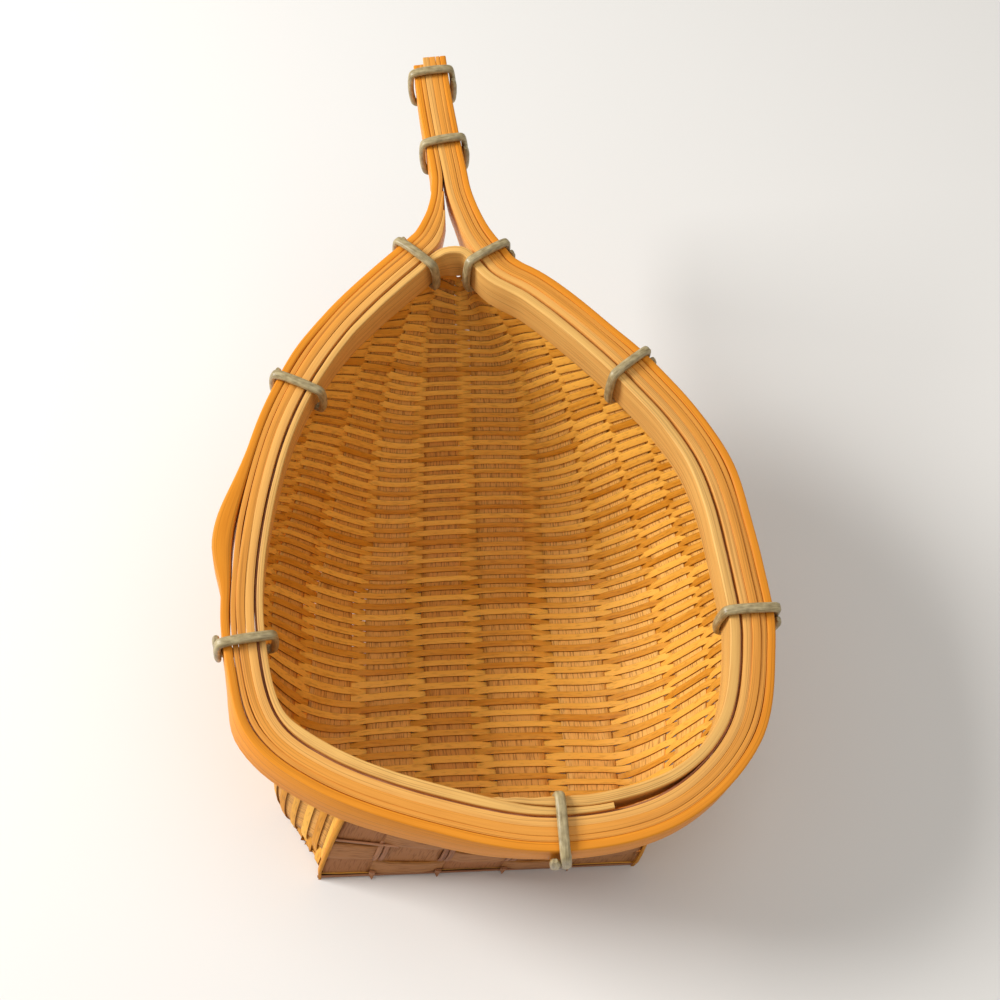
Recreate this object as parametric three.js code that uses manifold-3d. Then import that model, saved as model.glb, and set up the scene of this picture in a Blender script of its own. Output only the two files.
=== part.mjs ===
// Bamboo scoop basket: a woven bowl gripped by a rim of split bamboo whose ends run on as the handle.
// Millimetres and degrees. X points right, Y from the front of the bowl to the handle, Z up.
import * as THREE from "three";
import Module from "manifold-3d";

// Bowl, measured on the outer face of its wall
const BOWL_WIDTH = 109.4;
const BOWL_LENGTH = 145.5;
const RIM_FRONT_HEIGHT = 47;
const RIM_TILT = 8.5;
const WALL_THICKNESS = 0.8;
const WALL_TOP_DROP = 1.0;
const COLLAR_MARGIN = 2.5;

// Base: flat from its straight front edge back to the line where the bottom starts to rise
const BASE_WIDTH = 78;
const BASE_CENTRE_X = -5.6;
const BASE_SETBACK = 4.9;
const BASE_TURN = -2.5;
const BASE_FLAT_LENGTH = 80;
const BASE_RISE_POWER = 1.6;
const BASE_BELLY_LEFT = 14;
const BASE_BELLY_RIGHT = 5;
const BELLY_ROW = 0.13;
const BASE_SHARP_LENGTH = 0.38;
const FLAT_SHARE_FRONT = 0.96;
const FLAT_SHARE_BACK = 0.42;
const BOWL_FULLNESS = 0.86;

// Stakes: flat lengthwise strips
const STAKE_COUNT = 10;
const STAKE_THICKNESS = 0.6;
const STAKE_PITCH_FRONT = 15.4;
const STAKE_PITCH_NECK = 10.0;
const STAKE_WIDTH_FRONT = 10.2;
const STAKE_WIDTH_NECK = 6.8;
const STAKE_LEAST_WIDTH = 3.0;
const STAKE_FIRST_ROW = 0.12;
const STAKE_LAST_ROW = 0.93;

// Rim: strips on edge
const STRIP_HEIGHT = 8.8;
const SPLINT_THICKNESS = 1.4;
const HOOP_HEIGHT = 8.8;
const HOOP_THICKNESS = 1.6;
const HOOP_OVERLAP = 30;
const HOOP_STEP_IN = 26;
const SQUARE_END_ROOM = 3;
const HOOP_FEATHER = 24;
const FEATHER_THICKNESS = 0.5;
const FEATHER_LENGTH = 11;
const SHOULDER_BULGE = 3.0;
const SHOULDER_BELOW = 14;
const SHOULDER_ABOVE = 25;

// Handle
const HANDLE_LENGTH = 61;
const HANDLE_SWAY = 7.8;
const HANDLE_BOW = 0.25;
const HANDLE_SIDE = 2.8;
const ARMS_JOIN = 14;
const ARM_GAP = 0.4;
const LEFT_ARM_SHORT = 3;
const LEAN_FADE = 18;

// Where both arms run between the neck ties and the handle, measured from the neck
const RIGHT_ARM_FREE = [[1.5, 3.0]];
const LEFT_ARM_FREE = [[-5.4, 1.0], [-3.8, 8.4]];

// Left ends of the two inner splints, measured along them past the left neck tie
const SHORT_ENDS = [14, 20];
const CLOSE_LENGTH = 12;

// Ties: waxed cord
const CORD_RADIUS = 1.0;
const TIE_GAP = 0.6;
const HANDLE_TIES = { tie_handle_tip: 0.87, tie_handle_neck: 0.37 };

// Clearances between touching pieces; the curved stakes and wall keep the wider one
const FIT_GAP = 0.3;
const STAKE_GAP = 0.45;

// The wall line at the rim, from the neck round by the right side, the front and the left side,
// as shares of half the bowl's width and length
const WALL_OUTLINE = [
  [-0.190, 0.998], [-0.128, 0.981], [-0.018, 0.878], [0.148, 0.796], [0.590, 0.459],
  [0.857, 0.154], [0.969, -0.253], [0.987, -0.456], [0.905, -0.734], [0.644, -0.929],
  [0.225, -1.002], [-0.201, -0.954], [-0.664, -0.833], [-0.878, -0.711], [-0.987, -0.462],
  [-1.013, -0.165], [-0.921, 0.293], [-0.706, 0.635], [-0.377, 0.924], [-0.285, 0.987],
];

// Places on that outline, in the same shares
const CORNER_RIGHT = [0.644, -0.929];
const CORNER_LEFT = [-0.558, -0.865];
const ARM_RIGHT = [-0.071, 0.933];
const ARM_LEFT = [-0.333, 0.954];
const SHOULDER_LEFT = [-1.011, -0.144];
const HOOP_SQUARE_END = [0.448, -0.979];
const RIM_TIES = {
  tie_neck_right: [-0.071, 0.933],
  tie_right_upper: [0.559, 0.482],
  tie_right_lower: [0.980, -0.371],
  tie_front: [0.225, -1.002],
  tie_left_lower: [-0.991, -0.448],
  tie_left_upper: [-0.859, 0.426],
  tie_neck_left: [-0.358, 0.937],
};

// Outward lean of the rim strips at the right, the left and the neck
const LEAN_RIGHT = 5;
const LEAN_LEFT = -8;
const LEAN_NECK = 9;

// Mesh steps
const LINE_STEPS = 400;
const ROW_STEPS = 28;
const ROW_POWER = 1.3;
const COLLAR_STEPS = 2;
const FRONT_BEND_POWER = 0.5;
const FRONT_BEND_ROW = 0.06;
const SIDE_STEPS = 12;
const BASE_STEPS = 8;
const STAKE_COLUMNS = 4;
const STAKE_FRONT_HEIGHTS = [1.99, 1.5, 1, 0.75, 0.5, 0.25];
const SECTION_STEPS = 60;
const OFFSET_SWEEPS = 40;
const ROW_NUDGE = 0.004;
const HEIGHT_NUDGE = 0.01;
const ARC_NUDGE = 0.2;
const HOOP_STEPS = 96;
const ARM_STEPS = 90;
const SPLINT_STEP = 6;
const SIDE_POINTS = 3;
const CORNER_POINTS = 3;
const CORD_SIDES = 6;

const wasm = await Module();
wasm.setup();

const TILT = THREE.MathUtils.degToRad(RIM_TILT);
const HALF_WIDTH = BOWL_WIDTH / 2;
const HALF_LENGTH = BOWL_LENGTH / 2;
const HOOP_OUTER = -(WALL_THICKNESS + STAKE_GAP + STAKE_THICKNESS + FIT_GAP);
const HOOP_INNER = HOOP_OUTER - HOOP_THICKNESS;
const SPLINT_STEP_OUT = SPLINT_THICKNESS + FIT_GAP;
const SPLINT_NAMES = ["rim_splint_inner", "rim_splint_third", "rim_splint_second", "rim_splint_outer"];
const SPLINTS_OUTER = FIT_GAP + SPLINT_NAMES.length * SPLINT_STEP_OUT - FIT_GAP;
const COLLAR_DEPTH = STRIP_HEIGHT + COLLAR_MARGIN;

const mix = THREE.MathUtils.lerp;
const smooth = THREE.MathUtils.smoothstep;

function outlinePoint([x, q]) {
  return new THREE.Vector3(x * HALF_WIDTH, q * HALF_LENGTH, 0);
}

// Rim plane: x across, q along the tilted plane, h square to it, measured from the rim's top
const wallCurve = new THREE.CatmullRomCurve3(WALL_OUTLINE.map(outlinePoint), true, "centripetal");
wallCurve.arcLengthDivisions = 2000;
const WALL_LENGTH = wallCurve.getLength();
const wallSamples = wallCurve.getSpacedPoints(LINE_STEPS);
const FRONT_Q = Math.min(...wallSamples.map((p) => p.y));
const NECK = outlinePoint(WALL_OUTLINE[0]);

function rimPoint(x, q, h) {
  const y = q * Math.cos(TILT) - h * Math.sin(TILT);
  const z = RIM_FRONT_HEIGHT + (q - FRONT_Q) * Math.sin(TILT) + h * Math.cos(TILT);
  return new THREE.Vector3(x, y, z);
}

function rimDirection(x, q, h) {
  const y = q * Math.cos(TILT) - h * Math.sin(TILT);
  return new THREE.Vector3(x, y, q * Math.sin(TILT) + h * Math.cos(TILT));
}

function leanAt(out) {
  const side = out.x > 0 ? LEAN_RIGHT * out.x ** 2 : LEAN_LEFT * out.x ** 2;
  const neck = out.y > 0 ? LEAN_NECK * out.y ** 2 : 0;
  return THREE.MathUtils.degToRad(side + neck);
}

// A frame on the rim: origin at the top, out across the strips, up along their height
function rimFrame(point, tangent, leanShare = 1) {
  const flatOut = new THREE.Vector2(-tangent.y, tangent.x).normalize();
  const lean = leanAt(flatOut) * leanShare;
  const out = rimDirection(flatOut.x * Math.cos(lean), flatOut.y * Math.cos(lean), -Math.sin(lean));
  const up = rimDirection(flatOut.x * Math.sin(lean), flatOut.y * Math.sin(lean), Math.cos(lean));
  const along = rimDirection(tangent.x, tangent.y, 0).normalize();
  return { origin: rimPoint(point.x, point.y, 0), out, up, along };
}

function inFrame(frame, across, height, along = 0) {
  return frame.origin.clone()
    .addScaledVector(frame.out, across)
    .addScaledVector(frame.up, height)
    .addScaledVector(frame.along, along);
}

function wallFrame(station) {
  const share = THREE.MathUtils.euclideanModulo(station / WALL_LENGTH, 1);
  return rimFrame(wallCurve.getPointAt(share), wallCurve.getTangentAt(share));
}

function stationNear(place) {
  const target = outlinePoint(place);
  let best = 0;
  wallSamples.forEach((p, i) => {
    if (p.distanceTo(target) < wallSamples[best].distanceTo(target)) best = i;
  });
  return (best / LINE_STEPS) * WALL_LENGTH;
}

const STATION_RIGHT = stationNear(CORNER_RIGHT);
const STATION_LEFT = stationNear(CORNER_LEFT);

// Solids from rings of points
function solidFrom(points, triangles) {
  const geometry = new THREE.BufferGeometry();
  const flat = points.flatMap((p) => [p.x, p.y, p.z]);
  let volume = 0;
  for (const [a, b, c] of triangles) {
    volume += points[a].dot(points[b].clone().cross(points[c]));
  }
  const index = volume > 0 ? triangles.flat() : triangles.flatMap(([a, b, c]) => [a, c, b]);
  geometry.setAttribute("position", new THREE.Float32BufferAttribute(flat, 3));
  geometry.setIndex(index);
  return geometry;
}

function loft(rings) {
  const sides = rings[0].length;
  const triangles = [];
  for (let i = 0; i + 1 < rings.length; i++) {
    for (let j = 0; j < sides; j++) {
      const a = i * sides + j;
      const b = i * sides + ((j + 1) % sides);
      triangles.push([a, b, b + sides], [a, b + sides, a + sides]);
    }
  }
  const last = (rings.length - 1) * sides;
  for (let j = 0; j + 1 < sides / 2; j++) {
    const k = sides - 1 - j;
    triangles.push([j, k, k - 1], [j, k - 1, j + 1]);
    triangles.push([last + j, last + k - 1, last + k], [last + j, last + j + 1, last + k - 1]);
  }
  return solidFrom(rings.flat(), triangles);
}

function toManifold(geometry) {
  const vertProperties = new Float32Array(geometry.getAttribute("position").array);
  const triVerts = new Uint32Array(geometry.getIndex().array);
  return new wasm.Manifold(new wasm.Mesh({ numProp: 3, vertProperties, triVerts }));
}

function fromManifold(solid) {
  const mesh = solid.getMesh();
  const geometry = new THREE.BufferGeometry();
  geometry.setAttribute("position", new THREE.Float32BufferAttribute(mesh.vertProperties, 3));
  geometry.setIndex(Array.from(mesh.triVerts));
  return geometry;
}

// Bowl surface, on the outer face of the wall
const FRONT_CENTRE = new THREE.Vector3(BASE_CENTRE_X, FRONT_Q * Math.cos(TILT) + BASE_SETBACK, 0);
const NECK_LOW = inFrame(wallFrame(0), 0, -COLLAR_DEPTH);
const RISE_START_Y = FRONT_CENTRE.y + BASE_FLAT_LENGTH;

function bottomPoint(t) {
  const y = mix(FRONT_CENTRE.y, NECK_LOW.y, t);
  const climb = Math.max(0, (y - RISE_START_Y) / (NECK_LOW.y - RISE_START_Y));
  return new THREE.Vector3(mix(FRONT_CENTRE.x, NECK_LOW.x, t), y, NECK_LOW.z * climb ** BASE_RISE_POWER);
}

class BottomCurve extends THREE.Curve {
  getPoint(t) {
    return bottomPoint(t);
  }
}
const bottomCurve = new BottomCurve();

function rimStation(row, side) {
  if (side > 0) return STATION_RIGHT * (1 - row);
  return mix(STATION_LEFT, WALL_LENGTH, row);
}

// Where the bottom and the side wall would meet if the bend between them were sharp
function baseCorner(row, side, low, centre) {
  const turn = THREE.MathUtils.degToRad(BASE_TURN);
  const across = new THREE.Vector3(side * Math.cos(turn), -side * Math.sin(turn), 0);
  const toRim = low.clone().sub(centre).setZ(0);
  const belly = side < 0 ? BASE_BELLY_LEFT : BASE_BELLY_RIGHT;
  const frontReach = BASE_WIDTH / 2 + belly * smooth(row, 0, BELLY_ROW);
  const reach = mix(frontReach, BOWL_FULLNESS * toRim.length(), smooth(row, BELLY_ROW, BASE_SHARP_LENGTH));
  const direction = across.lerp(toRim.normalize(), smooth(row, 0, 2 * BELLY_ROW)).normalize();
  return centre.clone().addScaledVector(direction, reach);
}

// One side of the row's cross-section: flat base, rounded corner, wall, and the collar in the rim
function sideParts(row, side) {
  const frame = wallFrame(rimStation(row, side));
  const low = inFrame(frame, 0, -COLLAR_DEPTH);
  const top = inFrame(frame, 0, -WALL_TOP_DROP);
  const centre = bottomCurve.getPointAt(row);
  const corner = baseCorner(row, side, low, centre);
  const flatShare = mix(FLAT_SHARE_FRONT, FLAT_SHARE_BACK, smooth(row, 0, BASE_SHARP_LENGTH));
  const edge = centre.clone().lerp(corner, flatShare);
  return { centre, edge, top, low, bend: new THREE.QuadraticBezierCurve3(edge, corner, low) };
}

function sidePoints(row, side) {
  const { centre, edge, top, low, bend } = sideParts(row, side);
  const power = mix(FRONT_BEND_POWER, 1, smooth(row, 0, FRONT_BEND_ROW));
  const points = [];
  for (let i = 0; i < BASE_STEPS / 2; i++) points.push(centre.clone().lerp(edge, (2 * i) / BASE_STEPS));
  for (let i = 0; i < SIDE_STEPS; i++) points.push(bend.getPoint((i / SIDE_STEPS) ** power));
  for (let i = 0; i <= COLLAR_STEPS; i++) points.push(low.clone().lerp(top, i / COLLAR_STEPS));
  return points;
}

// Rows of the bowl from the front edge of the base to the neck, closer together at the neck
const ROWS = Array.from({ length: ROW_STEPS + 1 }, (_, i) => 1 - (1 - i / ROW_STEPS) ** ROW_POWER);

function sectionPoints(row) {
  const left = sidePoints(row, -1).reverse();
  return left.concat(sidePoints(row, 1).slice(1));
}

// Front wall: a patch between the base's front edge, both corners and the rim's front arc
const leftFront = sideParts(0, -1);
const rightFront = sideParts(0, 1);

function frontRimFrame(across) {
  return wallFrame(mix(STATION_LEFT, STATION_RIGHT, across));
}

function frontPoint(across, height) {
  if (height > 1) {
    return inFrame(frontRimFrame(across), 0, mix(-COLLAR_DEPTH, -WALL_TOP_DROP, height - 1));
  }
  const left = leftFront.bend.getPoint(height ** FRONT_BEND_POWER);
  const right = rightFront.bend.getPoint(height ** FRONT_BEND_POWER);
  const base = leftFront.edge.clone().lerp(rightFront.edge, across);
  const rim = inFrame(frontRimFrame(across), 0, -COLLAR_DEPTH);
  const ruled = left.lerp(right, across).add(base.lerp(rim, height));
  const ends = leftFront.edge.clone().lerp(rightFront.edge, across)
    .lerp(leftFront.low.clone().lerp(rightFront.low, across), height);
  return ruled.sub(ends);
}

class SharedPoints {
  constructor() {
    this.points = [];
    this.known = new Map();
  }

  index(point) {
    const key = point.toArray().map((v) => Math.round(v * 1e4)).join(" ");
    if (!this.known.has(key)) {
      this.known.set(key, this.points.length);
      this.points.push(point);
    }
    return this.known.get(key);
  }
}

function gridTriangles(rows, shared) {
  const triangles = [];
  const grid = rows.map((row) => row.map((p) => shared.index(p)));
  for (let i = 0; i + 1 < grid.length; i++) {
    for (let j = 0; j + 1 < grid[i].length; j++) {
      const [a, b] = [grid[i][j], grid[i][j + 1]];
      const [d, c] = [grid[i + 1][j], grid[i + 1][j + 1]];
      triangles.push([a, d, c], [a, c, b]);
    }
  }
  return triangles.filter(([a, b, c]) => a !== b && b !== c && c !== a);
}

// Offset of each point of an open surface so that every face near it moves by the same distance
function inwardOffsets(points, triangles, distance) {
  const normals = points.map(() => []);
  for (const [a, b, c] of triangles) {
    const ab = points[b].clone().sub(points[a]);
    const normal = ab.cross(points[c].clone().sub(points[a])).normalize();
    for (const i of [a, b, c]) normals[i].push(normal);
  }
  return points.map((point, i) => {
    const move = new THREE.Vector3();
    for (let sweep = 0; sweep < OFFSET_SWEEPS; sweep++) {
      for (const normal of normals[i]) move.addScaledVector(normal, (distance - move.dot(normal)) / 2);
    }
    return point.clone().sub(move);
  });
}

function wallSolid() {
  const shared = new SharedPoints();
  const rows = ROWS.map(sectionPoints);
  const front = [];
  const heights = SIDE_STEPS + COLLAR_STEPS;
  for (let i = heights; i >= 0; i--) {
    const height = i <= SIDE_STEPS ? i / SIDE_STEPS : 1 + (i - SIDE_STEPS) / COLLAR_STEPS;
    const line = [];
    for (let j = 0; j <= BASE_STEPS; j++) line.push(frontPoint(j / BASE_STEPS, height));
    front.push(line);
  }
  const outside = gridTriangles(rows, shared).concat(gridTriangles(front, shared));
  const inner = inwardOffsets(shared.points, outside, WALL_THICKNESS);
  const count = shared.points.length;
  const triangles = outside.concat(outside.map(([a, b, c]) => [a + count, c + count, b + count]));
  const edges = new Set(outside.flatMap(([a, b, c]) => [`${a} ${b}`, `${b} ${c}`, `${c} ${a}`]));
  for (const edge of edges) {
    const [a, b] = edge.split(" ").map(Number);
    if (!edges.has(`${b} ${a}`)) triangles.push([b, a, a + count], [b, a + count, b + count]);
  }
  return solidFrom(shared.points.concat(inner), triangles);
}

// Stakes: strips just inside the wall
class SectionCurve {
  constructor(row) {
    this.points = [];
    for (const side of [-1, 1]) {
      const { centre, edge, top, low, bend } = sideParts(row, side);
      const path = [centre];
      for (let i = 0; i <= SECTION_STEPS; i++) path.push(bend.getPoint(i / SECTION_STEPS));
      path.push(low.clone().lerp(top, 0.5), top);
      let run = 0;
      path.forEach((p, i) => {
        if (i > 0) run += p.distanceTo(path[i - 1]);
        this.points.push([side * run, p]);
      });
      if (side < 0) this.points.reverse();
      if (side < 0) this.left = -run;
      else this.right = run;
    }
  }

  at(arc) {
    let i = 1;
    while (i + 1 < this.points.length && this.points[i][0] < arc) i++;
    const [[a, p], [b, q]] = [this.points[i - 1], this.points[i]];
    return p.clone().lerp(q, b > a ? (arc - a) / (b - a) : 0);
  }
}

function surfaceNormal(point, alongPoint, acrossPoint) {
  const along = alongPoint.clone().sub(point);
  return along.cross(acrossPoint.clone().sub(point)).normalize().negate();
}

function rowStation(row, arcs) {
  const step = row < 0.5 ? ROW_NUDGE : -ROW_NUDGE;
  const section = new SectionCurve(row);
  const nextSection = new SectionCurve(row + step);
  return arcs.map((arc) => {
    const point = section.at(arc);
    const normal = surfaceNormal(point, nextSection.at(arc), section.at(arc + ARC_NUDGE));
    if (step < 0) normal.negate();
    return { point, normal };
  });
}

function frontStation(height, shares) {
  const step = height > 1 ? -HEIGHT_NUDGE : HEIGHT_NUDGE;
  return shares.map((share) => {
    const point = frontPoint(share, height);
    const beside = frontPoint(share + ROW_NUDGE, height);
    const normal = surfaceNormal(point, frontPoint(share, height + step), beside);
    if (step > 0) normal.negate();
    return { point, normal };
  });
}

function creaseStation(first, second) {
  return first.map(({ point, normal }, i) => {
    const mean = normal.clone().add(second[i].normal).normalize();
    return { point, normal: mean.clone().divideScalar(mean.dot(normal)) };
  });
}

function stakeRing(station) {
  const near = WALL_THICKNESS + STAKE_GAP;
  const far = near + STAKE_THICKNESS;
  const outer = station.map(({ point, normal }) => point.clone().addScaledVector(normal, near));
  const inner = station.map(({ point, normal }) => point.clone().addScaledVector(normal, far));
  return outer.concat(inner.reverse());
}

function spread(low, high) {
  return Array.from({ length: STAKE_COLUMNS + 1 }, (_, i) => mix(low, high, i / STAKE_COLUMNS));
}

function stakeSolid(number) {
  const place = number - (STAKE_COUNT - 1) / 2;
  const rings = [];
  const baseReach = leftFront.edge.distanceTo(leftFront.centre);
  const arcsAt = (row) => {
    const middle = place * mix(STAKE_PITCH_FRONT, STAKE_PITCH_NECK, row);
    const half = mix(STAKE_WIDTH_FRONT, STAKE_WIDTH_NECK, row) / 2;
    return [middle - half, middle + half];
  };
  const [low, high] = arcsAt(0);
  const turnsUp = Math.max(-low, high) < baseReach;
  if (turnsUp) {
    const baseLine = rightFront.edge.distanceTo(leftFront.edge);
    const shares = spread(low, high).map((arc) => (arc + baseReach) / baseLine);
    for (const height of STAKE_FRONT_HEIGHTS) rings.push(stakeRing(frontStation(height, shares)));
    const crease = creaseStation(rowStation(0, spread(low, high)), frontStation(0, shares));
    rings.push(stakeRing(crease));
  }
  const firstRow = turnsUp ? 0 : STAKE_FIRST_ROW;
  for (const row of ROWS.filter((r) => r > firstRow && r < STAKE_LAST_ROW)) {
    const section = new SectionCurve(row);
    const [from, to] = arcsAt(row);
    const start = Math.max(from, section.left + WALL_TOP_DROP);
    const end = Math.min(to, section.right - WALL_TOP_DROP);
    if (end - start < STAKE_LEAST_WIDTH) break;
    rings.push(stakeRing(rowStation(row, spread(start, end))));
  }
  return loft(rings);
}

// Rim splints: one line that follows the wall, then both arms and the handle
const SEAM_START = NECK.y + ARMS_JOIN;
const HANDLE_END = NECK.y + HANDLE_LENGTH;
const SEAM_X = NECK.x - HANDLE_SIDE;

function seamPoint(share) {
  const sway = HANDLE_SWAY * (share + HANDLE_BOW * share * (1 - share));
  return new THREE.Vector3(SEAM_X - sway, mix(SEAM_START, HANDLE_END, share), 0);
}

function sideOf(curve, t) {
  const tangent = curve.getTangentAt(t);
  return new THREE.Vector3(-tangent.y, tangent.x, 0);
}

function fromNeck([x, q]) {
  return new THREE.Vector3(NECK.x + x, NECK.y + q, 0);
}

function splintLine() {
  const points = [1, 0.8, 0.6, 0.4, 0.2, 0].map(seamPoint);
  points.push(...RIGHT_ARM_FREE.map(fromNeck));
  const start = stationNear(ARM_RIGHT);
  const end = stationNear(ARM_LEFT);
  for (let i = 0; i <= ARM_STEPS; i++) {
    const share = mix(start, end, i / ARM_STEPS) / WALL_LENGTH;
    points.push(wallCurve.getPointAt(share).addScaledVector(sideOf(wallCurve, share), FIT_GAP));
  }
  points.push(...LEFT_ARM_FREE.map(fromNeck));
  for (const share of [0.12, 0.25, 0.4, 0.6, 0.8, 1 - LEFT_ARM_SHORT / HANDLE_LENGTH]) {
    points.push(seamPoint(share).add(new THREE.Vector3(-ARM_GAP, 0, 0)));
  }
  const curve = new THREE.CatmullRomCurve3(points, false, "centripetal");
  curve.arcLengthDivisions = 3000;
  return curve;
}

const splintCurve = splintLine();
const SPLINT_LENGTH = splintCurve.getLength();

// Nearest station in the first share of the line, which starts at the handle's tip on the right
function splintStationNear(x, q, within = 1) {
  const target = new THREE.Vector3(x, q, 0);
  let best = 0;
  for (let i = 1; i <= LINE_STEPS * within; i++) {
    const near = splintCurve.getPointAt(i / LINE_STEPS).distanceTo(target);
    if (near < splintCurve.getPointAt(best / LINE_STEPS).distanceTo(target)) best = i;
  }
  return (best / LINE_STEPS) * SPLINT_LENGTH;
}

const armRight = outlinePoint(ARM_RIGHT);
const armLeft = outlinePoint(ARM_LEFT);
const SPLINT_ARM_RIGHT = splintStationNear(armRight.x, armRight.y);
const SPLINT_ARM_LEFT = splintStationNear(armLeft.x, armLeft.y);
const shoulder = outlinePoint(SHOULDER_LEFT);
const SPLINT_SHOULDER = splintStationNear(shoulder.x, shoulder.y);

function splintEnd(layer) {
  return layer < SHORT_ENDS.length ? SPLINT_ARM_LEFT + SHORT_ENDS[layer] : SPLINT_LENGTH;
}

function splintThickness(layer, station) {
  if (layer >= SHORT_ENDS.length) return SPLINT_THICKNESS;
  const end = splintEnd(layer);
  return mix(SPLINT_THICKNESS, FEATHER_THICKNESS, smooth(station, end - FEATHER_LENGTH, end));
}

function splintInner(layer, station) {
  let across = 0;
  for (let i = 0; i < layer; i++) {
    const room = splintThickness(i, station) + FIT_GAP;
    const end = splintEnd(i);
    across += i < SHORT_ENDS.length ? room * (1 - smooth(station, end, end + CLOSE_LENGTH)) : room;
  }
  if (layer === SPLINT_NAMES.length - 1) {
    const past = station - SPLINT_SHOULDER;
    const near = Math.min(1, past > 0 ? past / SHOULDER_ABOVE : -past / SHOULDER_BELOW);
    across += SHOULDER_BULGE * Math.cos((near * Math.PI) / 2) ** 2;
  }
  return across;
}

function splintFrame(station) {
  const share = station / SPLINT_LENGTH;
  const fade = smooth(station, SPLINT_ARM_RIGHT - LEAN_FADE, SPLINT_ARM_RIGHT)
    * (1 - smooth(station, SPLINT_ARM_LEFT, SPLINT_ARM_LEFT + LEAN_FADE));
  return rimFrame(splintCurve.getPointAt(share), splintCurve.getTangentAt(share), fade);
}

function stripRing(frame, inner, outer, top, bottom) {
  return [
    inFrame(frame, inner, top),
    inFrame(frame, outer, top),
    inFrame(frame, outer, bottom),
    inFrame(frame, inner, bottom),
  ];
}

function splintSolid(layer) {
  const end = splintEnd(layer);
  const steps = Math.ceil(SPLINT_LENGTH / SPLINT_STEP);
  const stations = Array.from({ length: steps }, (_, i) => (i / steps) * SPLINT_LENGTH);
  const rings = [];
  for (const station of [...stations.filter((s) => s < end - 1), end]) {
    const inner = splintInner(layer, station);
    const outer = inner + splintThickness(layer, station);
    rings.push(stripRing(splintFrame(station), inner, outer, 0, -STRIP_HEIGHT));
  }
  return loft(rings);
}

// Inner hoop: square end at the front, once round, then a feathered end that laps inside
function hoopSolid() {
  const start = stationNear(HOOP_SQUARE_END);
  const total = WALL_LENGTH + HOOP_OVERLAP;
  const rings = [];
  for (let i = 0; i <= HOOP_STEPS; i++) {
    const run = (i / HOOP_STEPS) * total;
    const doubled = smooth(run, WALL_LENGTH - HOOP_STEP_IN, WALL_LENGTH - SQUARE_END_ROOM);
    const lap = (HOOP_THICKNESS + FIT_GAP) * doubled;
    const thickness = mix(HOOP_THICKNESS, FEATHER_THICKNESS, smooth(run, total - HOOP_FEATHER, total));
    const outer = HOOP_OUTER - lap;
    rings.push(stripRing(wallFrame(start + run), outer - thickness, outer, 0, -HOOP_HEIGHT));
  }
  return loft(rings);
}

// Ties: one turn of cord round the strips, its two ends side by side on the outer face
const CORD_OFFSET = CORD_RADIUS + FIT_GAP;
const TIE_PITCH = 2 * CORD_RADIUS + TIE_GAP;

function tiePath(frame, inner, outer, bottom) {
  const corners = [
    [outer, 0, 0], [inner, 0, 90], [inner, bottom, 180], [outer, bottom, 270],
  ];
  const flat = [];
  const addSide = (from, to) => {
    for (let i = 1; i <= SIDE_POINTS; i++) {
      const t = i / (SIDE_POINTS + 1);
      flat.push([mix(from[0], to[0], t), mix(from[1], to[1], t)]);
    }
  };
  const arcPoint = ([across, height, turn], degrees) => {
    const angle = THREE.MathUtils.degToRad(turn + degrees);
    return [across + CORD_OFFSET * Math.cos(angle), height + CORD_OFFSET * Math.sin(angle)];
  };
  corners.forEach((corner, i) => {
    const previous = corners[(i + corners.length - 1) % corners.length];
    addSide(arcPoint(previous, 90), arcPoint(corner, 0));
    for (let j = 0; j < CORNER_POINTS; j++) flat.push(arcPoint(corner, (90 * j) / (CORNER_POINTS - 1)));
  });
  const turn = flat.length;
  addSide(arcPoint(corners[3], 90), arcPoint(corners[0], 0));
  return flat.map(([across, height], i) => inFrame(frame, across, height, TIE_PITCH * (i / turn - 0.5)));
}

function cordSolid(path, axis, radius) {
  const rings = path.map((point, i) => {
    const before = path[Math.max(0, i - 1)];
    const after = path[Math.min(path.length - 1, i + 1)];
    const tangent = after.clone().sub(before).normalize();
    const normal = axis.clone().cross(tangent).normalize();
    const side = tangent.clone().cross(normal);
    return Array.from({ length: CORD_SIDES }, (_, j) => {
      const angle = (2 * Math.PI * j) / CORD_SIDES;
      return point.clone()
        .addScaledVector(normal, radius * Math.cos(angle))
        .addScaledVector(side, radius * Math.sin(angle));
    });
  });
  return loft(rings);
}

function leastGap(path) {
  let least = Infinity;
  const far = Math.ceil(path.length / 2);
  path.forEach((p, i) => {
    for (let j = i + far; j < path.length; j++) least = Math.min(least, p.distanceTo(path[j]));
  });
  return least - 2 * CORD_RADIUS;
}

function rimTie(name) {
  const frame = wallFrame(stationNear(RIM_TIES[name]));
  const lap = name === "tie_front" ? HOOP_THICKNESS + FIT_GAP : 0;
  return { path: tiePath(frame, HOOP_INNER - lap, SPLINTS_OUTER, -STRIP_HEIGHT), axis: frame.along };
}

function handleTie(share) {
  const seam = seamPoint(share);
  const frame = splintFrame(splintStationNear(seam.x, seam.y, 0.5));
  const left = -((SPLINT_NAMES.length - SHORT_ENDS.length) * SPLINT_STEP_OUT + ARM_GAP);
  const right = SPLINT_NAMES.length * SPLINT_STEP_OUT - FIT_GAP;
  return { path: tiePath(frame, left, right, -STRIP_HEIGHT), axis: frame.along };
}

const ties = Object.fromEntries(Object.keys(RIM_TIES).map((name) => [name, rimTie(name)]));
const needles = Object.values(ties)
  .map(({ path, axis }) => toManifold(cordSolid(path, axis, CORD_RADIUS + FIT_GAP)));
for (const [name, share] of Object.entries(HANDLE_TIES)) ties[name] = handleTie(share);

// A woven piece with the holes that the rim's ties go through
function pierced(geometry) {
  let solid = toManifold(geometry);
  for (const needle of needles) solid = solid.subtract(needle);
  const pieces = solid.decompose();
  pieces.sort((a, b) => b.volume() - a.volume());
  return fromManifold(pieces[0]);
}

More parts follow.
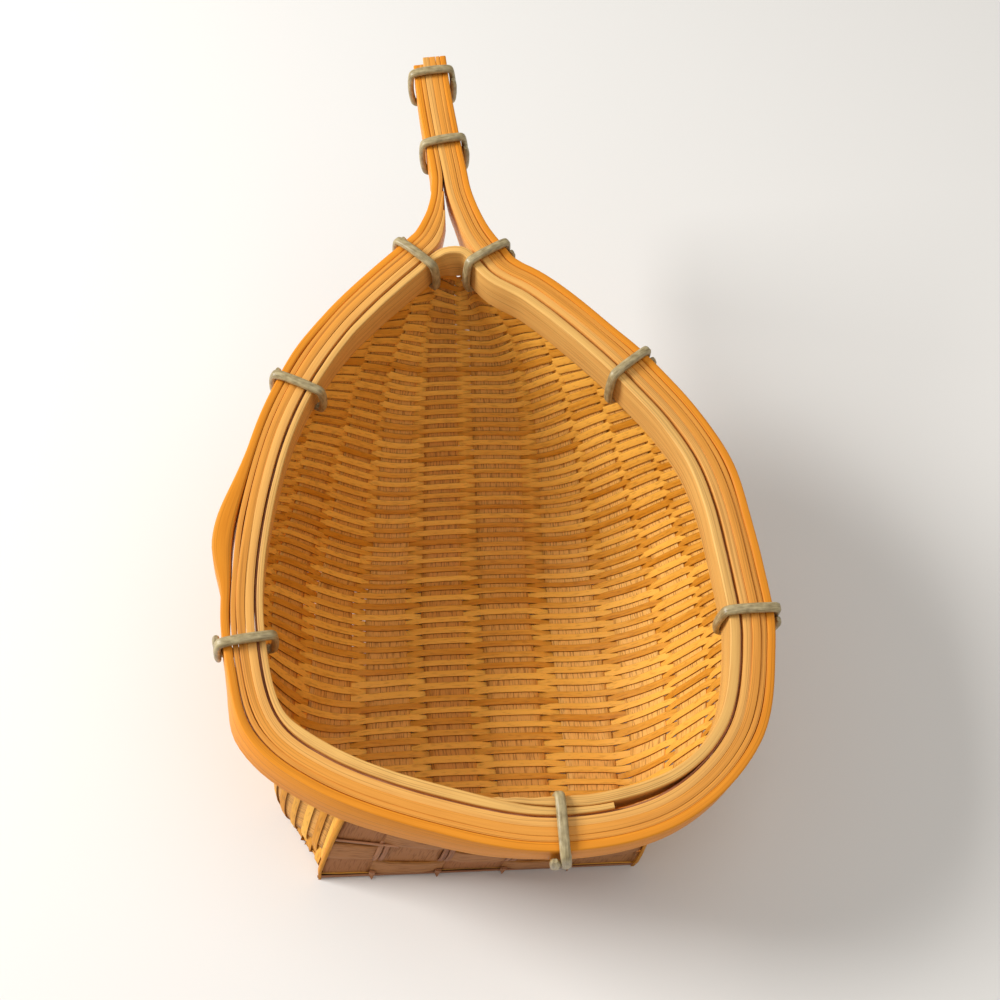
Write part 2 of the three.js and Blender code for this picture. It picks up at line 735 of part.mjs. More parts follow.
// Assembly
const FINISHES = {
  weave: { color: 0xc98a3f, roughness: 0.55 },
  stake: { color: 0xd49a55, roughness: 0.55 },
  hoop: { color: 0xe0b878, roughness: 0.6 },
  splint: { color: 0xc98632, roughness: 0.4 },
  cord: { color: 0x8f8a70, roughness: 0.45 },
};

const basket = new THREE.Group();

function addPiece(name, geometry, finish) {
  const material = new THREE.MeshStandardMaterial({ ...FINISHES[finish], metalness: 0, flatShading: true });
  const mesh = new THREE.Mesh(geometry, material);
  mesh.name = name;
  basket.add(mesh);
}

addPiece("woven_wall", pierced(wallSolid()), "weave");
for (let i = 0; i < STAKE_COUNT; i++) {
  addPiece(`stake_${String(i + 1).padStart(2, "0")}`, pierced(stakeSolid(i)), "stake");
}
addPiece("inner_hoop", hoopSolid(), "hoop");
SPLINT_NAMES.forEach((name, layer) => addPiece(name, splintSolid(layer), "splint"));
for (const [name, { path, axis }] of Object.entries(ties)) {
  addPiece(name, cordSolid(path, axis, CORD_RADIUS), "cord");
  console.log(`${name}: least gap to itself ${leastGap(path).toFixed(2)} mm`);
}

// Origin under the middle of the object, on the surface it stands on
const box = new THREE.Box3().setFromObject(basket);
const middle = box.getCenter(new THREE.Vector3());
basket.position.set(-middle.x, -middle.y, -box.min.z);

export default basket;
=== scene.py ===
"""A bamboo scoop basket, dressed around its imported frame: woven bowl, tied rim, handle and stage.

The bowl's surface and the rim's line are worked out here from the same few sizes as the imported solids, in
millimetres on the bowl's own axes. Guides drawn on them carry the strips, and geometry node trees turn the
guides into bamboo and cord.
"""

import logging
import math
from dataclasses import dataclass, field
from enum import Enum
from typing import Any, Iterable

import bpy
import numpy as np
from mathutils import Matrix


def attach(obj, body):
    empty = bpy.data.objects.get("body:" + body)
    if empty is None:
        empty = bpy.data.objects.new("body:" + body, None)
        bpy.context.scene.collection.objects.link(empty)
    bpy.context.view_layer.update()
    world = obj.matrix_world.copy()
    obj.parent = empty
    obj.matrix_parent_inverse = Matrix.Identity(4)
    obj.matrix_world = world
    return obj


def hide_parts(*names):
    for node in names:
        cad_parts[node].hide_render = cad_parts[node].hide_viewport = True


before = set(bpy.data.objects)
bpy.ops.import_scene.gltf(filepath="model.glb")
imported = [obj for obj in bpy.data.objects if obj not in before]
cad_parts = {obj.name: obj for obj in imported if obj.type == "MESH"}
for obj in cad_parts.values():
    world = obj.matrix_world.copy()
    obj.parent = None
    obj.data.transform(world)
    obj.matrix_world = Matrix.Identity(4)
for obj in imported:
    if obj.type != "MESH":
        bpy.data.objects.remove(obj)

LOG = logging.getLogger("basket")
MM = 0.001
BODY = "root"

# Where the bowl's own axes stand in the frame, in millimetres
BOWL_ORIGIN = np.array([1.657, -26.612, 0.0])


def ease(value: np.ndarray | float, low: float, high: float) -> np.ndarray | float:
    """Rises smoothly from 0 at low to 1 at high.

    Args:
        value: The number, or array of numbers, to place between the limits.
        low: Where the rise starts.
        high: Where the rise ends.

    Returns:
        The eased share, of the same shape as value.
    """
    share = np.clip((value - low) / (high - low), 0.0, 1.0)
    return share * share * (3.0 - 2.0 * share)


def blend(first: Any, second: Any, share: Any) -> Any:
    """Mixes two numbers or arrays by a share from 0 to 1."""
    return first + (second - first) * share


def unit(vectors: np.ndarray) -> np.ndarray:
    """Scales each vector to length 1."""
    length = np.linalg.norm(vectors, axis=-1, keepdims=True)
    return vectors / np.maximum(length, 1e-9)


def wander(count: int, step: float, seed: int, smoothness: float) -> np.ndarray:
    """Draws a smooth random line with values of about -1 to 1.

    Args:
        count: How many values.
        step: The distance between two of them.
        seed: The seed of the random numbers.
        smoothness: The distance over which the line changes.

    Returns:
        The values.
    """
    source = np.random.default_rng(seed)
    knots = max(4, int(count * step / smoothness) + 3)
    values = source.uniform(-1.0, 1.0, knots)
    places = np.linspace(0, knots - 1, count)
    low = np.minimum(places.astype(int), knots - 2)
    return blend(values[low], values[low + 1], ease(places - low, 0.0, 1.0))


def paint(code: str) -> tuple[float, float, float, float]:
    """Turns a screen colour such as c98a3f into the linear colour that shaders use."""
    parts = [int(code[i:i + 2], 16) / 255 for i in (0, 2, 4)]
    linear = [p / 12.92 if p <= 0.04045 else ((p + 0.055) / 1.055) ** 2.4 for p in parts]
    return (*linear, 1.0)


# Shader maths
class Term:
    """A socket of a shader graph, with the operators that the finishes use."""

    def __init__(self, graph: "ShaderGraph", socket: bpy.types.NodeSocket) -> None:
        """Wraps a socket of a graph."""
        self.graph = graph
        self.socket = socket

    def __add__(self, other: Any) -> "Term":
        """Adds a value."""
        return self.graph.maths("ADD", self, other)

    def __radd__(self, other: Any) -> "Term":
        """Adds itself to a value."""
        return self.graph.maths("ADD", other, self)

    def __sub__(self, other: Any) -> "Term":
        """Takes a value away."""
        return self.graph.maths("SUBTRACT", self, other)

    def __rsub__(self, other: Any) -> "Term":
        """Takes itself away from a value."""
        return self.graph.maths("SUBTRACT", other, self)

    def __mul__(self, other: Any) -> "Term":
        """Multiplies by a value."""
        return self.graph.maths("MULTIPLY", self, other)

    def __rmul__(self, other: Any) -> "Term":
        """Multiplies a value by itself."""
        return self.graph.maths("MULTIPLY", other, self)

    def over(self, low: float, high: float) -> "Term":
        """Rises from 0 at low to 1 at high, with smooth ends."""
        settings = {"interpolation_type": "SMOOTHSTEP"}
        sockets = {"Value": self, "From Min": low, "From Max": high}
        node = self.graph.node("ShaderNodeMapRange", settings, sockets)
        return Term(self.graph, node.outputs["Result"])


class ShaderGraph:
    """A material's node tree, built by expressions on terms."""

    def __init__(self, name: str) -> None:
        """Starts an empty material with that name."""
        self.material = bpy.data.materials.new(name)
        self.material.use_nodes = True
        self.tree = self.material.node_tree
        self.tree.nodes.clear()

    def node(self, kind: str, settings: dict[str, Any], sockets: dict[Any, Any]) -> bpy.types.Node:
        """Adds a node.

        Args:
            kind: The node's type.
            settings: The node's own properties, which are set first.
            sockets: The values or terms of its inputs, by name or number.

        Returns:
            The new node.
        """
        node = self.tree.nodes.new(kind)
        for key, value in settings.items():
            setattr(node, key, value)
        for key, value in sockets.items():
            if isinstance(value, Term):
                self.tree.links.new(value.socket, node.inputs[key])
            else:
                node.inputs[key].default_value = value
        return node

    def maths(self, operation: str, first: Any, second: Any) -> Term:
        """Adds a Math node for two values and returns its result."""
        node = self.node("ShaderNodeMath", {"operation": operation}, {0: first, 1: second})
        return Term(self, node.outputs[0])

    def attribute(self, name: str) -> Term:
        """Reads a number that the mesh carries."""
        node = self.node("ShaderNodeAttribute", {"attribute_name": name}, {})
        return Term(self, node.outputs["Fac"])

    def vector(self, x: Any, y: Any, z: Any) -> Term:
        """Joins three values into a vector."""
        node = self.node("ShaderNodeCombineXYZ", {}, {"X": x, "Y": y, "Z": z})
        return Term(self, node.outputs["Vector"])

    def grain(self, length: float, width: float, detail: float, shift: Any) -> Term:
        """Reads a noise that is drawn out along a strip.

        Args:
            length: The length of its marks in millimetres.
            width: Their width.
            detail: How much finer noise goes on top.
            shift: What moves the noise along, so that no two strips look the same.

        Returns:
            The noise.
        """
        along = self.attribute("along") * (1.0 / (length * MM)) + shift
        across = self.attribute("across") * (1.0 / (width * MM))
        depth = self.attribute("depth") * (1.0 / (width * MM))
        sockets = {"Vector": self.vector(along, across, depth), "Scale": 1.0, "Detail": detail}
        return Term(self, self.node("ShaderNodeTexNoise", {}, sockets).outputs["Fac"])

    def mix(self, share: Any, first: Any, second: Any) -> Term:
        """Mixes two colours by a share."""
        sockets = {0: share, 6: first, 7: second}
        node = self.node("ShaderNodeMix", {"data_type": "RGBA"}, sockets)
        return Term(self, node.outputs[2])

    def bump(self, height: Term, strength: float, distance: float) -> Term:
        """Turns a height into a normal."""
        sockets = {"Height": height, "Strength": strength, "Distance": distance}
        return Term(self, self.node("ShaderNodeBump", {}, sockets).outputs["Normal"])

    def surface(self, sockets: dict[str, Any]) -> bpy.types.Material:
        """Ends the graph in a Principled shader with these sockets."""
        shader = self.node("ShaderNodeBsdfPrincipled", {}, sockets)
        output = self.node("ShaderNodeOutputMaterial", {}, {})
        self.tree.links.new(shader.outputs["BSDF"], output.inputs["Surface"])
        return self.material


class PaintedEdgeLight(Enum):
    """Where a strip's edges are painted: along its narrow sides as dark painted shade, or along its corners
    as a pale painted highlight.
    """

    NONE = "none"
    SIDES = "sides"
    CORNERS = "corners"


@dataclass(frozen=True)
class BambooFinish:
    """Split bamboo: fibres that run along the strip, flecks, streaks and a tone for each strip, with painted
    shade where a piece carries it and painted edges for some finishes.
    """

    name: str
    pale: str
    deep: str
    fleck: str
    # Painted edges: the colour laid on a strip's edges, dark painted shade on the wefts and a pale painted
    # highlight on the outer splint.
    edge: str = "f4d596"
    painted_edge_look: PaintedEdgeLight = PaintedEdgeLight.NONE
    edge_start: float = 0.9
    painted_edge_share: float = 0.5
    tone_spread: float = 0.5
    streak_share: float = 0.6
    fleck_share: float = 0.5
    fibre_width: float = 0.25
    fibre_length: float = 9.0
    fleck_width: float = 0.3
    fleck_length: float = 2.5
    fleck_range: tuple[float, float] = (0.52, 0.72)
    rough_low: float = 0.36
    rough_high: float = 0.56
    bump_depth: float = 0.05
    gloss: float = 0.3
    # Painted shade: the darker colour, and how much of it, that stands in for the shadow on the front wall's
    # outer side.
    painted_shade: str = "9a5f42"
    painted_shade_share: float = 0.75

    def material(self) -> bpy.types.Material:
        """Builds the finish as a material."""
        graph = ShaderGraph(self.name)
        tone = graph.attribute("tone")
        shift = tone * 61.0
        fibres = graph.grain(self.fibre_length, self.fibre_width, 3.0, shift)
        broad = graph.grain(4 * self.fibre_length, 5 * self.fibre_width, 2.0, shift)
        flecks = graph.grain(self.fleck_length, self.fleck_width, 1.0, shift).over(*self.fleck_range)
        mixed = tone * self.tone_spread + fibres * self.streak_share + broad * (1.1 - self.tone_spread)
        colour = graph.mix(mixed.over(0.25, 1.15), paint(self.deep), paint(self.pale))
        # Painted shade: points marked for it are pulled towards its darker colour.
        colour = graph.mix(graph.attribute("painted_shade") * self.painted_shade_share, colour, paint(self.painted_shade))
        colour = graph.mix(flecks * self.fleck_share, colour, paint(self.fleck))
        # Painted edges: the sides or corners are mixed towards the edge colour, as painted shade on the wefts
        # and a painted highlight on the outer splint.
        if self.painted_edge_look is not PaintedEdgeLight.NONE:
            colour = graph.mix(self.painted_edge_mask(graph) * self.painted_edge_share, colour, paint(self.edge))
        rough = fibres * (self.rough_high - self.rough_low) + self.rough_low
        normal = graph.bump(fibres - flecks * 0.5, 0.6, self.bump_depth * MM)
        return graph.surface({
            "Base Color": colour,
            "Roughness": rough,
            "Normal": normal,
            "Specular IOR Level": self.gloss,
        })

    def painted_edge_mask(self, graph: ShaderGraph) -> Term:
        """Gives 1 on the narrow sides of a strip, or only along its corners, and 0 elsewhere."""
        mark = graph.maths("ABSOLUTE", graph.attribute("upward"), 0.0)
        if self.painted_edge_look is PaintedEdgeLight.CORNERS:
            mark = mark * graph.maths("ABSOLUTE", graph.attribute("outward"), 0.0)
        return mark.over(self.edge_start, 1.0)


@dataclass(frozen=True)
class CordFinish:
    """Waxed cord: lengthwise fibres, a mottled olive grey and a satin sheen."""

    name: str
    pale: str
    deep: str
    fibre_length: float = 3.0
    fibre_width: float = 0.22
    mottle_length: float = 1.6
    mottle_width: float = 0.9

    def material(self) -> bpy.types.Material:
        """Builds the finish as a material."""
        graph = ShaderGraph(self.name)
        shift = graph.attribute("tone") * 40.0
        fibres = graph.grain(self.fibre_length, self.fibre_width, 3.0, shift)
        mottle = graph.grain(self.mottle_length, self.mottle_width, 3.0, shift)
        colour = graph.mix((fibres * 0.5 + mottle * 0.7).over(0.3, 0.9), paint(self.deep), paint(self.pale))
        rough = mottle * 0.3 + 0.22
        normal = graph.bump(fibres * 0.7 + mottle * 0.6, 0.7, 0.12 * MM)
        return graph.surface({"Base Color": colour, "Roughness": rough, "Normal": normal})


class Finish(Enum):
    """The basket's finishes."""

    # The wefts' narrow sides are painted dark: mostly painted shade for the thin shadow line along each weft,
    # partly darker cut edges.
    WEFT = BambooFinish(
        "weft_bamboo", "f3b44a", "c67c14", "7a4516", tone_spread=0.8, fleck_share=0.25, gloss=0.22,
        edge="62320a", painted_edge_look=PaintedEdgeLight.SIDES, painted_edge_share=0.75, rough_low=0.45, rough_high=0.65,
    )
    STAKE = BambooFinish(
        "stake_bamboo", "f4b85e", "be7422", "7c4416", tone_spread=1.0, streak_share=0.35, fleck_share=0.55,
        fleck_width=0.4, fleck_length=4.0, fleck_range=(0.48, 0.68), gloss=0.22,
        rough_low=0.45, rough_high=0.65,
    )
    # Painted shade: a darker pinkish brown for the front wall's outside strips and the wall's pressed edge,
    # standing in for the shadow they sit in.
    PAINTED_SHADE = BambooFinish(
        "front_wall_painted_shade_bamboo", "b98058", "8a5236", "5e301f", tone_spread=0.4, fleck_share=0.4,
        fleck_width=0.4, fleck_length=6.0, rough_low=0.45, rough_high=0.65,
    )
    HOOP = BambooFinish(
        "hoop_bamboo", "ecb866", "cf9145", "8f5f2e", tone_spread=0.3, fleck_share=0.45,
        fleck_width=0.3, fleck_length=40.0, fleck_range=(0.54, 0.68), rough_low=0.45, rough_high=0.6,
    )
    PALE_SPLINT = BambooFinish(
        "pale_splint_bamboo", "f0b25c", "d38c3c", "8a5016", tone_spread=0.3, fleck_share=0.4,
        fleck_width=0.3, fleck_length=60.0, fleck_range=(0.54, 0.66),
    )
    SPLINT = BambooFinish(
        "splint_bamboo", "e89c3c", "c27624", "7c430f", tone_spread=0.4, fleck_share=0.35,
        fleck_width=0.3, fleck_length=60.0, fleck_range=(0.54, 0.66),
    )
    # The outer splint's corners are painted pale: a painted highlight along its rounded edges.
    SKIN_SPLINT = BambooFinish(
        "skin_splint_bamboo", "e8932a", "cb7415", "844710", tone_spread=0.3, fleck_share=0.35,
        fleck_width=0.3, fleck_length=60.0, fleck_range=(0.56, 0.7),
        edge="f6d491", painted_edge_look=PaintedEdgeLight.CORNERS, edge_start=0.9, painted_edge_share=0.5, gloss=0.12,
    )
    CORD = CordFinish("waxed_cord", "c3b184", "7d6a45")

    def material(self) -> bpy.types.Material:
        """Builds the finish once and gives the same material after that."""
        return bpy.data.materials.get(self.value.name) or self.value.material()


# Geometry node trees
class GeometryGraph:
    """A geometry node tree with named inputs."""

    def __init__(self, name: str) -> None:
        """Starts a tree that takes and gives one geometry."""
        self.tree = bpy.data.node_groups.new(name, "GeometryNodeTree")
        self.tree.interface.new_socket("Geometry", in_out="INPUT", socket_type="NodeSocketGeometry")
        self.tree.interface.new_socket("Geometry", in_out="OUTPUT", socket_type="NodeSocketGeometry")
        self.group_in = self.tree.nodes.new("NodeGroupInput")
        self.group_out = self.tree.nodes.new("NodeGroupOutput")

    def size(self, name: str, kind: str = "NodeSocketFloat") -> bpy.types.NodeSocket:
        """Adds a named input to the tree and returns its socket."""
        self.tree.interface.new_socket(name, in_out="INPUT", socket_type=kind)
        return self.group_in.outputs[name]

    def node(self, kind: str, settings: dict[str, Any], sockets: dict[Any, Any]) -> bpy.types.Node:
        """Adds a node.

        Args:
            kind: The node's type.
            settings: The node's own properties, which are set first.
            sockets: The values or sockets of its inputs, by name or number.

        Returns:
            The new node.
        """
        node = self.tree.nodes.new(kind)
        for key, value in settings.items():
            setattr(node, key, value)
        for key, value in sockets.items():
            if isinstance(value, bpy.types.NodeSocket):
                self.tree.links.new(value, node.inputs[key])
            else:
                node.inputs[key].default_value = value
        return node

    def maths(self, operation: str, *values: Any) -> bpy.types.NodeSocket:
        """Adds a Math node for the values."""
        return self.node("ShaderNodeMath", {"operation": operation}, dict(enumerate(values))).outputs[0]

    def number(self, name: str) -> bpy.types.NodeSocket:
        """Reads a number that the guide carries."""
        node = self.node("GeometryNodeInputNamedAttribute", {"data_type": "FLOAT"}, {"Name": name})
        return node.outputs["Attribute"]

    def direction(self, name: str) -> bpy.types.NodeSocket:
        """Reads a direction that the guide carries."""
        node = self.node("GeometryNodeInputNamedAttribute", {"data_type": "FLOAT_VECTOR"}, {"Name": name})
        return node.outputs["Attribute"]

    def scaled(self, vector: bpy.types.NodeSocket, factor: Any) -> bpy.types.NodeSocket:
        """Scales a vector by a number."""
        node = self.node("ShaderNodeVectorMath", {"operation": "SCALE"}, {0: vector, "Scale": factor})
        return node.outputs["Vector"]

    def moved(self, geometry: bpy.types.NodeSocket, offset: bpy.types.NodeSocket) -> bpy.types.NodeSocket:
        """Moves the points of a geometry."""
        sockets = {"Geometry": geometry, "Offset": offset}
        return self.node("GeometryNodeSetPosition", {}, sockets).outputs["Geometry"]

    def stored(
        self,
        geometry: bpy.types.NodeSocket,
        name: str,
        value: Any,
        domain: str = "POINT",
        where: Any = True,
    ) -> bpy.types.NodeSocket:
        """Stores a number on a geometry, or on the chosen part of it, under a name."""
        settings = {"data_type": "FLOAT", "domain": domain}
        sockets = {"Geometry": geometry, "Selection": where, "Name": name, "Value": value}
        return self.node("GeometryNodeStoreNamedAttribute", settings, sockets).outputs["Geometry"]

    def finish(self, geometry: bpy.types.NodeSocket, material: bpy.types.NodeSocket) -> bpy.types.NodeTree:
        """Ends the tree in smooth shading, real meshes and the material."""
        smooth = self.node("GeometryNodeSetShadeSmooth", {}, {"Geometry": geometry, "Shade Smooth": True})
        real = self.node("GeometryNodeRealizeInstances", {}, {"Geometry": smooth.outputs["Geometry"]})
        sockets = {"Geometry": real.outputs["Geometry"], "Material": material}
        dressed = self.node("GeometryNodeSetMaterial", {}, sockets)
        self.tree.links.new(dressed.outputs["Geometry"], self.group_out.inputs["Geometry"])
        return self.tree


def strip_tree() -> bpy.types.NodeTree:
    """Builds the tree that sweeps strips along guides, over and under the stakes that they cross.

    Each guide point carries facing, the way its thickness points; phase, its place counted in stakes; course,
    its row; swing, the share of the lift that it takes; and taper and spread, which thin and widen the strip.

    Returns:
        The tree.
    """
    graph = GeometryGraph("strips_on_guides")
    breadth = graph.size("Breadth")
    thickness = graph.size("Thickness")
    rounding = graph.size("Rounding")
    lift = graph.size("Lift")
    flat_share = graph.size("Flat Share")
    corner_steps = graph.size("Corner Steps", "NodeSocketInt")
    seed = graph.size("Seed", "NodeSocketInt")
    material = graph.size("Material", "NodeSocketMaterial")
    facing = graph.direction("facing")
    phase = graph.number("phase")
    nearest = graph.maths("ROUND", phase)
    off_centre = graph.maths("ABSOLUTE", graph.maths("SUBTRACT", phase, nearest))
    leaving = graph.maths("SUBTRACT", off_centre, flat_share)
    way = graph.maths("DIVIDE", leaving, graph.maths("SUBTRACT", 0.5, flat_share))
    limited = graph.maths("MINIMUM", graph.maths("MAXIMUM", way, 0.0), 1.0)
    turned = graph.maths("MULTIPLY", limited, math.pi / 2)
    crossing = graph.maths("FLOORED_MODULO", graph.maths("ADD", nearest, graph.number("course")), 2.0)
    side = graph.maths("SUBTRACT", 1.0, graph.maths("MULTIPLY", crossing, 2.0))
    rise = graph.maths("MULTIPLY", graph.maths("COSINE", turned), side)
    height = graph.maths("MULTIPLY", graph.maths("MULTIPLY", rise, graph.number("swing")), lift)
    laid = graph.moved(graph.group_in.outputs["Geometry"], graph.scaled(facing, height))
    curve = graph.node("GeometryNodeMeshToCurve", {}, {"Mesh": laid}).outputs["Curve"]
    sockets = {"Curve": curve, "Normal": facing}
    curve = graph.node("GeometryNodeSetCurveNormal", {"mode": "FREE"}, sockets).outputs["Curve"]
    length = graph.node("GeometryNodeSplineParameter", {}, {}).outputs["Length"]
    curve = graph.stored(curve, "along", length)
    index = graph.node("GeometryNodeInputIndex", {}, {}).outputs["Index"]
    chance = graph.node("FunctionNodeRandomValue", {"data_type": "FLOAT"}, {"ID": index, "Seed": seed})
    curve = graph.stored(curve, "tone", chance.outputs[1], "CURVE")
    sockets = {"Width": thickness, "Height": breadth}
    profile = graph.node("GeometryNodeCurvePrimitiveQuadrilateral", {}, sockets)
    sockets = {
        "Curve": profile.outputs["Curve"],
        "Count": corner_steps,
        "Radius": rounding,
        "Limit Radius": True,
    }
    section = graph.node("GeometryNodeFilletCurve", {"mode": "POLY"}, sockets).outputs["Curve"]
    place = graph.node("GeometryNodeInputPosition", {}, {}).outputs["Position"]
    parts = graph.node("ShaderNodeSeparateXYZ", {}, {"Vector": place})
    section = graph.stored(section, "depth", parts.outputs["X"])
    section = graph.stored(section, "across", parts.outputs["Y"])
    for name, axis, whole in (("outward", "X", thickness), ("upward", "Y", breadth)):
        half = graph.maths("MULTIPLY", whole, 0.5)
        section = graph.stored(section, name, graph.maths("DIVIDE", parts.outputs[axis], half))
    sockets = {"Curve": curve, "Profile Curve": section, "Scale": graph.number("spread"), "Fill Caps": True}
    swept = graph.node("GeometryNodeCurveToMesh", {}, sockets).outputs["Mesh"]
    thinner = graph.maths("SUBTRACT", graph.number("taper"), 1.0)
    inset = graph.maths("MULTIPLY", graph.number("depth"), thinner)
    return graph.finish(graph.moved(swept, graph.scaled(facing, inset)), material)


def patch_tree() -> bpy.types.NodeTree:
    """Builds the tree that gives flat patches, such as wide strips on the bowl, their thickness.

    Returns:
        The tree.
    """
    graph = GeometryGraph("strips_on_the_bowl")
    thickness = graph.size("Thickness")
    tone = graph.size("Tone")
    seed = graph.size("Seed", "NodeSocketInt")
    material = graph.size("Material", "NodeSocketMaterial")
    patch = graph.group_in.outputs["Geometry"]
    island = graph.node("GeometryNodeInputMeshIsland", {}, {}).outputs["Island Index"]
    sockets = {2: -0.08, 3: 0.08, "ID": island, "Seed": seed}
    chance = graph.node("FunctionNodeRandomValue", {"data_type": "FLOAT"}, sockets)
    patch = graph.stored(patch, "tone", graph.maths("ADD", tone, chance.outputs[1]))
    sockets = {"Mesh": patch, "Offset Scale": thickness, "Individual": False}
    extruded = graph.node("GeometryNodeExtrudeMesh", {"mode": "FACES"}, sockets).outputs
    # Painted shade: the points of the extruded top faces are cleared of it, so the darker colour stays on the
    # patch's other side.
    raised = graph.stored(extruded["Mesh"], "painted_shade", 0.0, where=extruded["Top"])
    back = graph.node("GeometryNodeFlipFaces", {}, {"Mesh": patch}).outputs["Mesh"]
    joined = graph.node("GeometryNodeJoinGeometry", {}, {})
    graph.tree.links.new(raised, joined.inputs["Geometry"])
    graph.tree.links.new(back, joined.inputs["Geometry"])
    sockets = {"Geometry": joined.outputs["Geometry"], "Distance": 0.001 * MM}
    closed = graph.node("GeometryNodeMergeByDistance", {}, sockets).outputs["Geometry"]
    return graph.finish(closed, material)


def grow(guide: bpy.types.Object, tree: bpy.types.NodeTree, inputs: dict[str, Any]) -> bpy.types.Object:
    """Runs a tree on a guide object and keeps the result as its plain mesh.

    Args:
        guide: The object that holds the guide mesh.
        tree: The geometry node tree.
        inputs: The values of the tree's named inputs.

    Returns:
        The same object, with the finished mesh and no modifier.
    """
    modifier = guide.modifiers.new(tree.name, "NODES")
    modifier.node_group = tree
    sockets = {item.name: item.identifier for item in tree.interface.items_tree if item.in_out == "INPUT"}
    for name, value in inputs.items():
        modifier[sockets[name]] = value
    finished = guide.evaluated_get(bpy.context.evaluated_depsgraph_get())
    mesh = bpy.data.meshes.new_from_object(finished)
    guide.modifiers.remove(modifier)
    guide.data = mesh
    mesh.name = guide.name
    return guide


@dataclass
class Guide:
    """A line that one strip follows, with what its points carry."""

    points: np.ndarray
    facing: np.ndarray
    phase: np.ndarray | None = None
    course: float = 0.0
    swing: np.ndarray | None = None
    taper: np.ndarray | None = None
    spread: np.ndarray | None = None


def guide_object(name: str, guides: Iterable[Guide]) -> bpy.types.Object:
    """Makes an object whose mesh holds the guides as lines, in metres in the frame.

    Args:
        name: The object's name.
        guides: The lines, in millimetres on the bowl's axes.

    Returns:
        The object.
    """
    lines = list(guides)
    counts = [len(line.points) for line in lines]
    firsts = np.cumsum([0] + counts[:-1])
    edges = [(first + i, first + i + 1) for first, count in zip(firsts, counts) for i in range(count - 1)]
    places = np.concatenate([line.points for line in lines])
    mesh = bpy.data.meshes.new(name)
    mesh.from_pydata(((places + BOWL_ORIGIN) * MM).tolist(), edges, [])
    facing = mesh.attributes.new("facing", "FLOAT_VECTOR", "POINT")
    ways = np.concatenate([line.facing for line in lines]).ravel()
    facing.data.foreach_set("vector", ways.astype(np.float32))
    carried = {
        "phase": [np.zeros(n) if line.phase is None else line.phase for line, n in zip(lines, counts)],
        "course": [np.full(n, line.course) for line, n in zip(lines, counts)],
        "swing": [np.zeros(n) if line.swing is None else line.swing for line, n in zip(lines, counts)],
        "taper": [np.ones(n) if line.taper is None else line.taper for line, n in zip(lines, counts)],
        "spread": [np.ones(n) if line.spread is None else line.spread for line, n in zip(lines, counts)],
    }
    for key, values in carried.items():
        layer = mesh.attributes.new(key, "FLOAT", "POINT")
        layer.data.foreach_set("value", np.concatenate(values).astype(np.float32))
    made = bpy.data.objects.new(name, mesh)
    bpy.context.scene.collection.objects.link(made)
    return made


def patch_object(
    name: str,
    patches: list[np.ndarray],
    painted_shades: list[np.ndarray] | None = None,
) -> bpy.types.Object:
    """Makes an object whose mesh holds rows of points as flat patches, in metres in the frame.

    Args:
        name: The object's name.
        patches: Arrays of rows by columns by 3, in millimetres on the bowl's axes.
        painted_shades: For each patch, how much painted shade its rows take, the darker colour that stands in
            for shadow.

    Returns:
        The object, whose points carry along and across in metres, and their share of painted shade.
    """
    painted_shades = painted_shades or [np.zeros(len(patch)) for patch in patches]
    places: list[np.ndarray] = []
    faces: list[tuple[int, int, int, int]] = []
    along: list[np.ndarray] = []
    across: list[np.ndarray] = []
    first = 0
    for patch in patches:
        rows, columns, _ = patch.shape
        middle = patch[:, columns // 2]
        run = np.cumsum(np.linalg.norm(np.diff(middle, axis=0, prepend=middle[:1]), axis=1))
        reach = np.cumsum(np.linalg.norm(np.diff(patch, axis=1, prepend=patch[:, :1]), axis=2), axis=1)
        places.append(patch.reshape(-1, 3))
        along.append(np.repeat(run, columns))
        across.append((reach - reach[:, -1:] / 2).ravel())
        for i in range(rows - 1):
            for j in range(columns - 1):
                a = first + i * columns + j
                faces.append((a, a + 1, a + 1 + columns, a + columns))
        first += rows * columns
    mesh = bpy.data.meshes.new(name)
    mesh.from_pydata(((np.concatenate(places) + BOWL_ORIGIN) * MM).tolist(), [], faces)
    painted_shade = [np.repeat(share, patch.shape[1]) for share, patch in zip(painted_shades, patches)]
    for key, values, scale in (("along", along, MM), ("across", across, MM), ("painted_shade", painted_shade, 1.0)):
        layer = mesh.attributes.new(key, "FLOAT", "POINT")
        layer.data.foreach_set("value", (np.concatenate(values) * scale).astype(np.float32))
    made = bpy.data.objects.new(name, mesh)
    bpy.context.scene.collection.objects.link(made)
    return made


def settle(piece: bpy.types.Object, nodes: Iterable[str] = ()) -> None:
    """Puts a finished piece on the basket's body, in place of the solids that it stands for.

    Args:
        piece: The finished object.
        nodes: The solids that it replaces.
    """
    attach(piece, BODY)
    for node in nodes:
        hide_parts(node)
    LOG.info("%s: %d faces", piece.name, len(piece.data.polygons))


